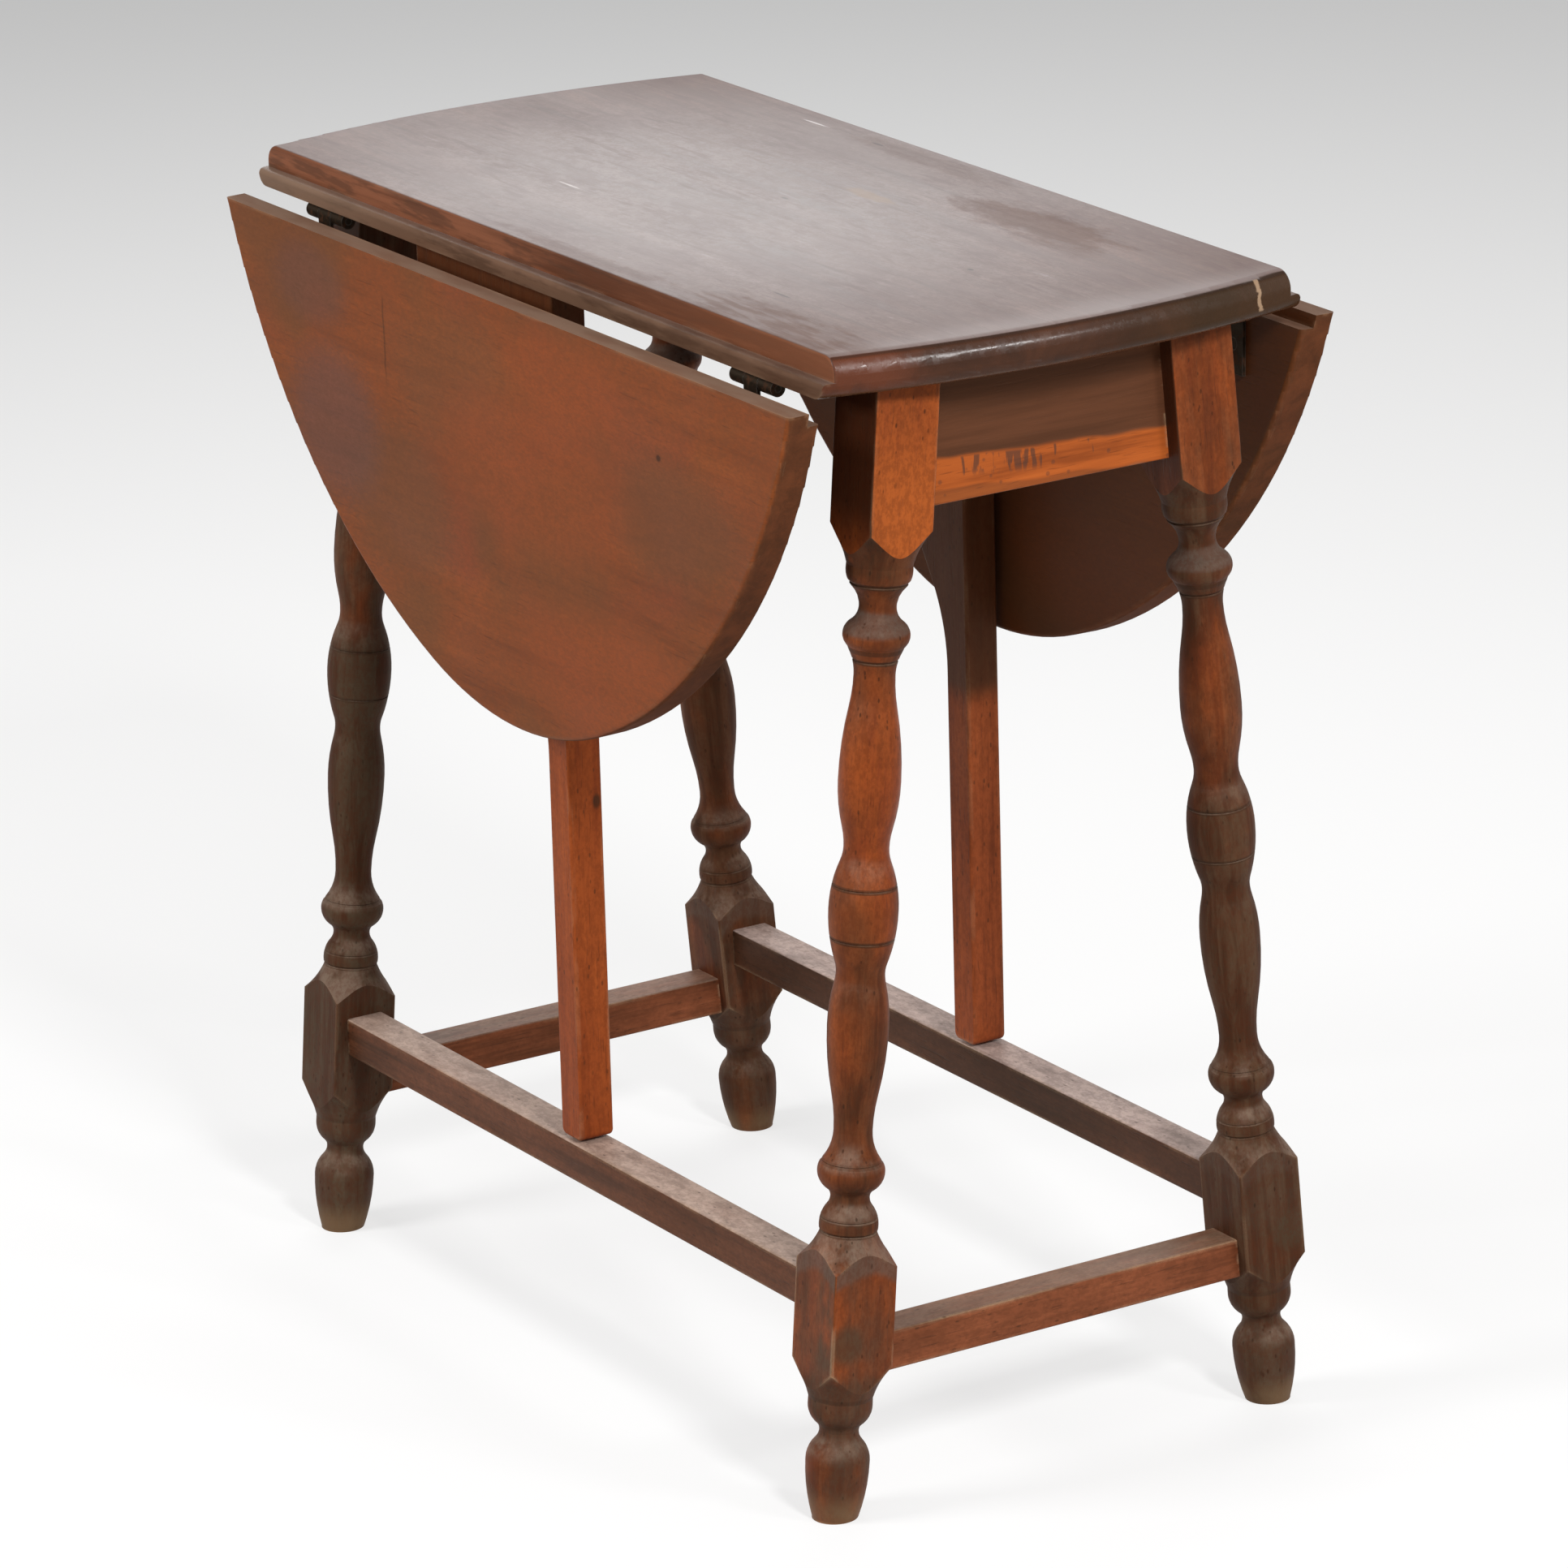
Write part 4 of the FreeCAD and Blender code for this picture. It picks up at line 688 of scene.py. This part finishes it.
    def gloss(self):
        """The flat's middle and the nose's upper half shine, the nose most near the front leaf."""
        shine = self.mask(self.nose, self.span(self.y, *SHINE_Y, 1.0, 0.6),
                          self.span(self.nz, *SHINE_BEGINS_NZ, 0.14, 0.50),
                          self.span(self.nz, *SHINE_ENDS_NZ, 1.0, 0.25))
        return self.either(self.mask(self.middle, self.middle, self.flat, 0.50), shine, 0.05)


LEAF_TONES = ((0.185, 0.047, 0.013), (0.240, 0.061, 0.016), (0.290, 0.075, 0.019))
LEAF_STREAKS = (70, 5)
LEAF_MOTTLE = 12
LEAF_FINE = (700, 300, 6)
OLIVE_WAVES = (12, 15)
RUDDY_WAVES = (10, 13)
LEAF_CROWN_DUST = (90, 24, 8)
LEAF_RUDDY = (0.250, 0.058, 0.024)
LEAF_OLIVE = (0.135, 0.064, 0.027)
LEAF_BRIGHT = (0.315, 0.072, 0.020)
LEAF_MAUVE = (0.140, 0.066, 0.053)
LEAF_GRAIN = (0.085, 0.034, 0.016)
LEAF_SPECKS = (0.095, 0.040, 0.020)
LEAF_INNER_SHADE = (0.080, 0.030, 0.011)
LEAF_EDGE = ((0.060, 0.026, 0.014), (0.118, 0.042, 0.020))
LEAF_TURNING = (0.105, 0.045, 0.020)
LEAF_CROWN = (0.220, 0.138, 0.096)
LEAF_RUBBED = (0.36, 0.20, 0.11)

# Clouds on a leaf's face as middle, reach and share
OLIVE_CLOUDS = (((0.170, 0.505), (0.085, 0.045), 0.48), ((-0.108, 0.455), (0.075, 0.06), 0.45),
                ((-0.040, 0.530), (0.085, 0.060), 0.35))
BRIGHT_CLOUDS = (((0.065, 0.556), (0.075, 0.035), 0.6), ((0.030, 0.500), (0.12, 0.055), 0.6),
                 ((0.100, 0.405), (0.11, 0.045), 0.6))
MAUVE_CLOUDS = (((-0.173, 0.483), (0.062, 0.055), 0.6), ((-0.192, 0.555), (0.05, 0.03), 0.42))
CRACK_X = -0.1125
CRACK_HALF = (0.0004, 0.0012)
CRACK_WAVES = 60
CRACK_RAGGED = 0.004
CRACK_LOW = (0.513, 0.528)
CRACK_HIGH = (0.568, 0.558)
DOT = ((0.1566, 0.5372), (0.0028, 0.0024))
TURN_REACH = 0.008
TURN_X = (0.04, 0.2)


class LeafWood(Wood):
    """Red-brown board with soft clouds of orange, olive brown and mauve. Its outer face looks to side_y."""

    def __init__(self, name, seed, side_y):
        super().__init__(name, "x", seed)
        self.clean, self.relief, self.streaks = self.timber(*LEAF_TONES, LEAF_STREAKS, LEAF_MOTTLE)
        self.side_y = side_y
        self.facing_out = self.math("MULTIPLY", self.ny, side_y)
        self.edge = self.fall(self.absolute(self.ny), 0.5, 0.85)
        self.olive = self.cloud(*OLIVE_WAVES, seed, 0.5)
        self.fine = self.noise(self.stretched(*LEAF_FINE), roughness=0.7)

    def material(self):
        colour = self.clouded()
        if self.side_y < 0:
            colour = self.cracked(colour)
        # painted shade: the inner face, under the table, darker
        colour = self.mix(self.mask(self.fall(self.facing_out, *FACING_AWAY), 0.65), colour, LEAF_INNER_SHADE)
        colour = self.edged(colour)
        rough = self.scaled(self.edge, 0.3, self.scaled(self.olive, 0.2, 0.42))
        return self.shader(colour, rough, self.relief, strength=0.2, **MATT)

    def cloud(self, waves_x, waves_z, shift_x, slice_y):
        """Broad soft clouds over the face."""
        along, down = self.scaled(self.x, waves_x, shift_x), self.math("MULTIPLY", self.z, waves_z)
        return self.noise(self.join(along, slice_y, down), detail=1.2, distortion=0.4)

    def clouded(self):
        """The face's clouds, grain and specks."""
        soft = self.scaled(self.fine, 0.44, -0.22)
        ruddy = self.cloud(*RUDDY_WAVES, self.seed * 3, 3.5)
        colour = self.mix(self.span(ruddy, 0.44, 0.70, 0.0, 0.55), self.clean, LEAF_RUDDY)
        olive = self.either(self.span(self.olive, 0.42, 0.72, 0.0, 0.55),
                            self.spots(self.x, self.z, OLIVE_CLOUDS, soft))
        colour = self.mix(olive, colour, LEAF_OLIVE)
        colour = self.mix(self.spots(self.x, self.z, BRIGHT_CLOUDS, soft), colour, LEAF_BRIGHT)
        colour = self.mix(self.spots(self.x, self.z, MAUVE_CLOUDS, soft), colour, LEAF_MAUVE)
        colour = self.mix(self.span(self.fine, 0.35, 0.65, 0.22, 0.0), colour, LEAF_GRAIN)
        return self.mix(self.speckle(0.20), colour, LEAF_SPECKS)

    def cracked(self, colour):
        """The near leaf's short crack and its dot."""
        wobble = self.noise(self.join(0.0, 0.0, self.math("MULTIPLY", self.z, CRACK_WAVES)))
        off = self.absolute(self.math("ADD", self.x, self.scaled(wobble, CRACK_RAGGED, -CRACK_X)))
        crack = self.mask(self.fall(off, *CRACK_HALF), self.span(self.z, *CRACK_LOW),
                          self.span(self.z, *CRACK_HIGH), 0.6)
        marks = self.either(crack, self.spot(self.x, self.z, *DOT))
        return self.mix(self.mask(marks, self.span(self.facing_out, *FACING), 0.8), colour, DARK)

    def edged(self, colour):
        """The dark bowed edge, the darker turn towards it, the dusty crown and the rubbed arrises."""
        colour = self.mix(self.mask(self.edge, 0.75), colour,
                          self.mix(self.span(self.streaks, 0.36, 0.66), *LEAF_EDGE))
        turning = self.mask(self.arris(TURN_REACH, 0.30), self.span(self.x, *TURN_X),
                            self.span(self.nz, 0.5, 0.2), 0.55)
        colour = self.mix(turning, colour, LEAF_TURNING)
        dust = self.span(self.noise(self.stretched(*LEAF_CROWN_DUST), detail=5), 0.3, 0.6, 0.65, 1.0)
        colour = self.mix(self.mask(self.span(self.nz, 0.5, 0.9), dust, 0.82), colour, LEAF_CROWN)
        return self.mix(self.worn(BOARD_RUBS, 0.5, 0.6, 0.4), colour, LEAF_RUBBED)


IRON_WORN_REACH = 0.0008
IRON_RELIEF = 0.0003
RUST_SCALE = 180
PIT_SCALE = 700
IRON_METALLIC = 0.45
IRON = (0.026, 0.018, 0.012)
RUST = (0.085, 0.037, 0.020)
IRON_BARE = (0.16, 0.14, 0.125)


def iron_material(name):
    """Dark old iron with a little rust."""
    g = Graph(bpy.data.materials.new(name))
    place = g.coordinates("Object")
    rust = g.noise(place, scale=RUST_SCALE, detail=5, roughness=0.6)
    pits = g.noise(place, scale=PIT_SCALE, roughness=0.6)
    colour = g.mix(g.span(rust, 0.48, 0.66), IRON, RUST)
    colour = g.mix(g.mask(g.arris(IRON_WORN_REACH), 0.5), colour, IRON_BARE)
    rough = g.span(rust, 0.4, 0.7, 0.5, 0.8)
    return g.shader(colour, rough, pits, strength=0.3, depth=IRON_RELIEF, Metallic=IRON_METALLIC, **SATIN)


def dress(names, material):
    for name in names:
        slots = nodes[name].data.materials
        slots.clear()
        slots.append(material)


# Dark, middle and light tones of the rails' clean wood
REDDISH = ((0.23, 0.044, 0.011), (0.30, 0.062, 0.014), (0.37, 0.080, 0.017))
RUDDY = ((0.19, 0.040, 0.013), (0.29, 0.064, 0.019), (0.37, 0.086, 0.025))
BROWNISH = ((0.080, 0.028, 0.013), (0.135, 0.045, 0.020), (0.190, 0.064, 0.028))
SHADED = ((0.050, 0.021, 0.011), (0.080, 0.030, 0.015), (0.115, 0.042, 0.020))
MID = ((0.16, 0.046, 0.019), (0.25, 0.073, 0.031), (0.34, 0.105, 0.045))

RAILS = {
    "side_stretcher_front": ("side_front_wood", "x", 3.3, BROWNISH,
                             {"soil": 0.30, "dust": 0.92, "dusty": (0.50, 0.36, 0.29)}),
    "side_stretcher_rear": ("side_rear_wood", "x", 8.3, SHADED,
                            {"soil": 0.35, "dust": 0.92, "dusty": (0.56, 0.42, 0.37)}),
    "end_stretcher_right": ("end_right_wood", "y", 5.6, MID,
                            {"soil": 0.25, "dust": 0.6, "dusty": (0.195, 0.145, 0.100)}),
    "end_stretcher_left": ("end_left_wood", "y", 7.2, MID, {"soil": 0.35, "dust": 0.6}),
    "swing_bracket_front": ("bracket_front_wood", "z", 2.9, REDDISH,
                            {"soil": 0.1, "knot": (-0.1173, 0.3132), "shade": (0.34, 0.38)}),
    "swing_bracket_rear": ("bracket_rear_wood", "z", 6.1, RUDDY, {"soil": 0.05, "shade": (0.318, 0.333)}),
}

# Side in x and y, seed, share of soil and share of a lighter orange upper end face
LEGS = {
    "leg_front_right": (1, -1, 1.7, 0.08, 0.65),
    "leg_rear_right": (1, 1, 4.2, 0.46, 0.0),
    "leg_front_left": (-1, -1, 7.9, 0.70, 0.0),
    "leg_rear_left": (-1, 1, 12.4, 0.26, 0.4),
}

dress(["top_board"], TopWood("top_wood").material())
dress(["leaf_front"], LeafWood("leaf_wood_front", 5.3, -1).material())
dress(["leaf_rear"], LeafWood("leaf_wood_rear", 9.1, 1).material())
for leg, looks in LEGS.items():
    dress([leg], LegWood(leg + "_wood", *looks).material())
dress(["apron_right"], apron_material("apron_right_wood", 2.2))
dress(["apron_left"], apron_material("apron_left_wood", 6.4))
for rail, (wood, along, seed, tones, looks) in RAILS.items():
    dress([rail], rail_material(wood, along, seed, tones, **looks))
hidden = rail_material("inner_wood", "y", 1.1, MID, soil=0.2)
dress([name for name in nodes if name.startswith(("glue_block", "pivot"))], hidden)
iron = iron_material("hinge_iron")
dress([name for name in nodes if name.startswith(("hinge", "screw"))], iron)

# The floor is plain and pale. Seen from afar it fades to the backdrop's grey.
HALF_FLOOR = 14.0
FLOOR_NEAR = 0.7
FLOOR_FAR = 3.4
FLOOR_WHITE = (0.98, 0.98, 0.98)
FLOOR_LIT = (0.5, 0.5, 0.5)
GLOW_SHARE = 0.65
BACKDROP = (0.595, 0.595, 0.595)
WORLD_TINT = (1.0, 0.98, 0.96)
WORLD_LEVEL = 0.36


def floor_paint():
    """Bright where it is seen, a plain matt grey for the light that falls on it."""
    g = Graph(bpy.data.materials.new("floor_paint"))
    away = g.vector("LENGTH", g.coordinates("Object"))
    pale = g.mix(g.span(away, FLOOR_NEAR, FLOOR_FAR), FLOOR_WHITE, BACKDROP)
    shown = g.seen()
    matt = g.filled("BsdfDiffuse", (g.mix(shown, FLOOR_LIT, pale),))
    glow = g.filled("Emission", (pale,))
    both = g.filled("MixShader", (g.mask(shown, GLOW_SHARE), matt.outputs[0], glow.outputs[0]))
    g.feed(g.out.inputs["Surface"], both.outputs[0])
    return g.owner


def studio_world():
    """Lights the object evenly and shows the backdrop's grey."""
    g = Graph(bpy.data.worlds.new("studio"), "OutputWorld")
    lit = g.filled("Background", (WORLD_TINT, WORLD_LEVEL))
    sky = g.filled("Background", (BACKDROP,))
    both = g.filled("MixShader", (g.seen(), lit.outputs[0], sky.outputs[0]))
    g.feed(g.out.inputs["Surface"], both.outputs[0])
    return g.owner


floor_mesh = bpy.data.meshes.new("floor")
floor_corners = [(-HALF_FLOOR, -HALF_FLOOR, 0), (HALF_FLOOR, -HALF_FLOOR, 0),
                 (HALF_FLOOR, HALF_FLOOR, 0), (-HALF_FLOOR, HALF_FLOOR, 0)]
floor_mesh.from_pydata(floor_corners, [], [(0, 1, 2, 3)])
floor_mesh.materials.append(floor_paint())
floor = bpy.data.objects.new("floor", floor_mesh)
bpy.context.scene.collection.objects.link(floor)
bpy.context.scene.world = studio_world()

# Place, aim, width and height, and watts
LAMPS = {
    "right": ((2.9, -0.4, 2.5), (0, 0, 0.3), (0.5, 0.5), 72),
    "front": ((-0.7, -3.0, 2.1), (0, 0, 0.3), (1.2, 1.2), 62),
    "back": ((-2.6, 1.6, 1.75), (0, 0, 0.55), (3.4, 1.5), 34),
    "over": ((2.75, 1.15, 2.00), (0.29, -0.05, 0.6), (0.56, 0.30), 20),
}


def add_lamp(name, place, aim, size, watts):
    """A soft lamp with a rectangular front."""
    data = bpy.data.lights.new(name, "AREA")
    data.shape = "RECTANGLE"
    data.size, data.size_y = size
    data.energy = watts
    lamp = bpy.data.objects.new(name, data)
    bpy.context.scene.collection.objects.link(lamp)
    lamp.location = place
    lamp.rotation_mode = "QUATERNION"
    lamp.rotation_quaternion = (Vector(aim) - Vector(place)).to_track_quat("-Z", "Y")


for lamp_name, lamp_row in LAMPS.items():
    add_lamp(lamp_name, *lamp_row)

# The camera stands where the photograph's did.
CAMERA_PLACE = (3.4764, -2.1628, 1.6271)
AZIMUTH = math.radians(58.056)
ELEVATION = math.radians(18.008)
ROLL = math.radians(-1.597)
LENS_MM = 187.72
SENSOR_MM = 36.0
CLIP_NEAR = 0.1
CLIP_FAR = 60.0


def add_camera():
    """The photograph's camera, turned by its azimuth, elevation and roll."""
    back = Vector((math.sin(AZIMUTH) * math.cos(ELEVATION), -math.cos(AZIMUTH) * math.cos(ELEVATION),
                   math.sin(ELEVATION)))
    level_right = (-back).cross(Vector((0, 0, 1))).normalized()
    level_up = level_right.cross(-back)
    right = level_right * math.cos(ROLL) + level_up * math.sin(ROLL)
    up = level_up * math.cos(ROLL) - level_right * math.sin(ROLL)
    data = bpy.data.cameras.new("camera")
    data.sensor_width = SENSOR_MM
    data.lens = LENS_MM
    data.clip_start, data.clip_end = CLIP_NEAR, CLIP_FAR
    camera = bpy.data.objects.new("camera", data)
    bpy.context.scene.collection.objects.link(camera)
    turn = Matrix((right, up, back)).transposed().to_4x4()
    camera.matrix_world = Matrix.Translation(CAMERA_PLACE) @ turn
    return camera


bpy.context.scene.camera = add_camera()
bpy.context.scene.view_settings.view_transform = "Standard"
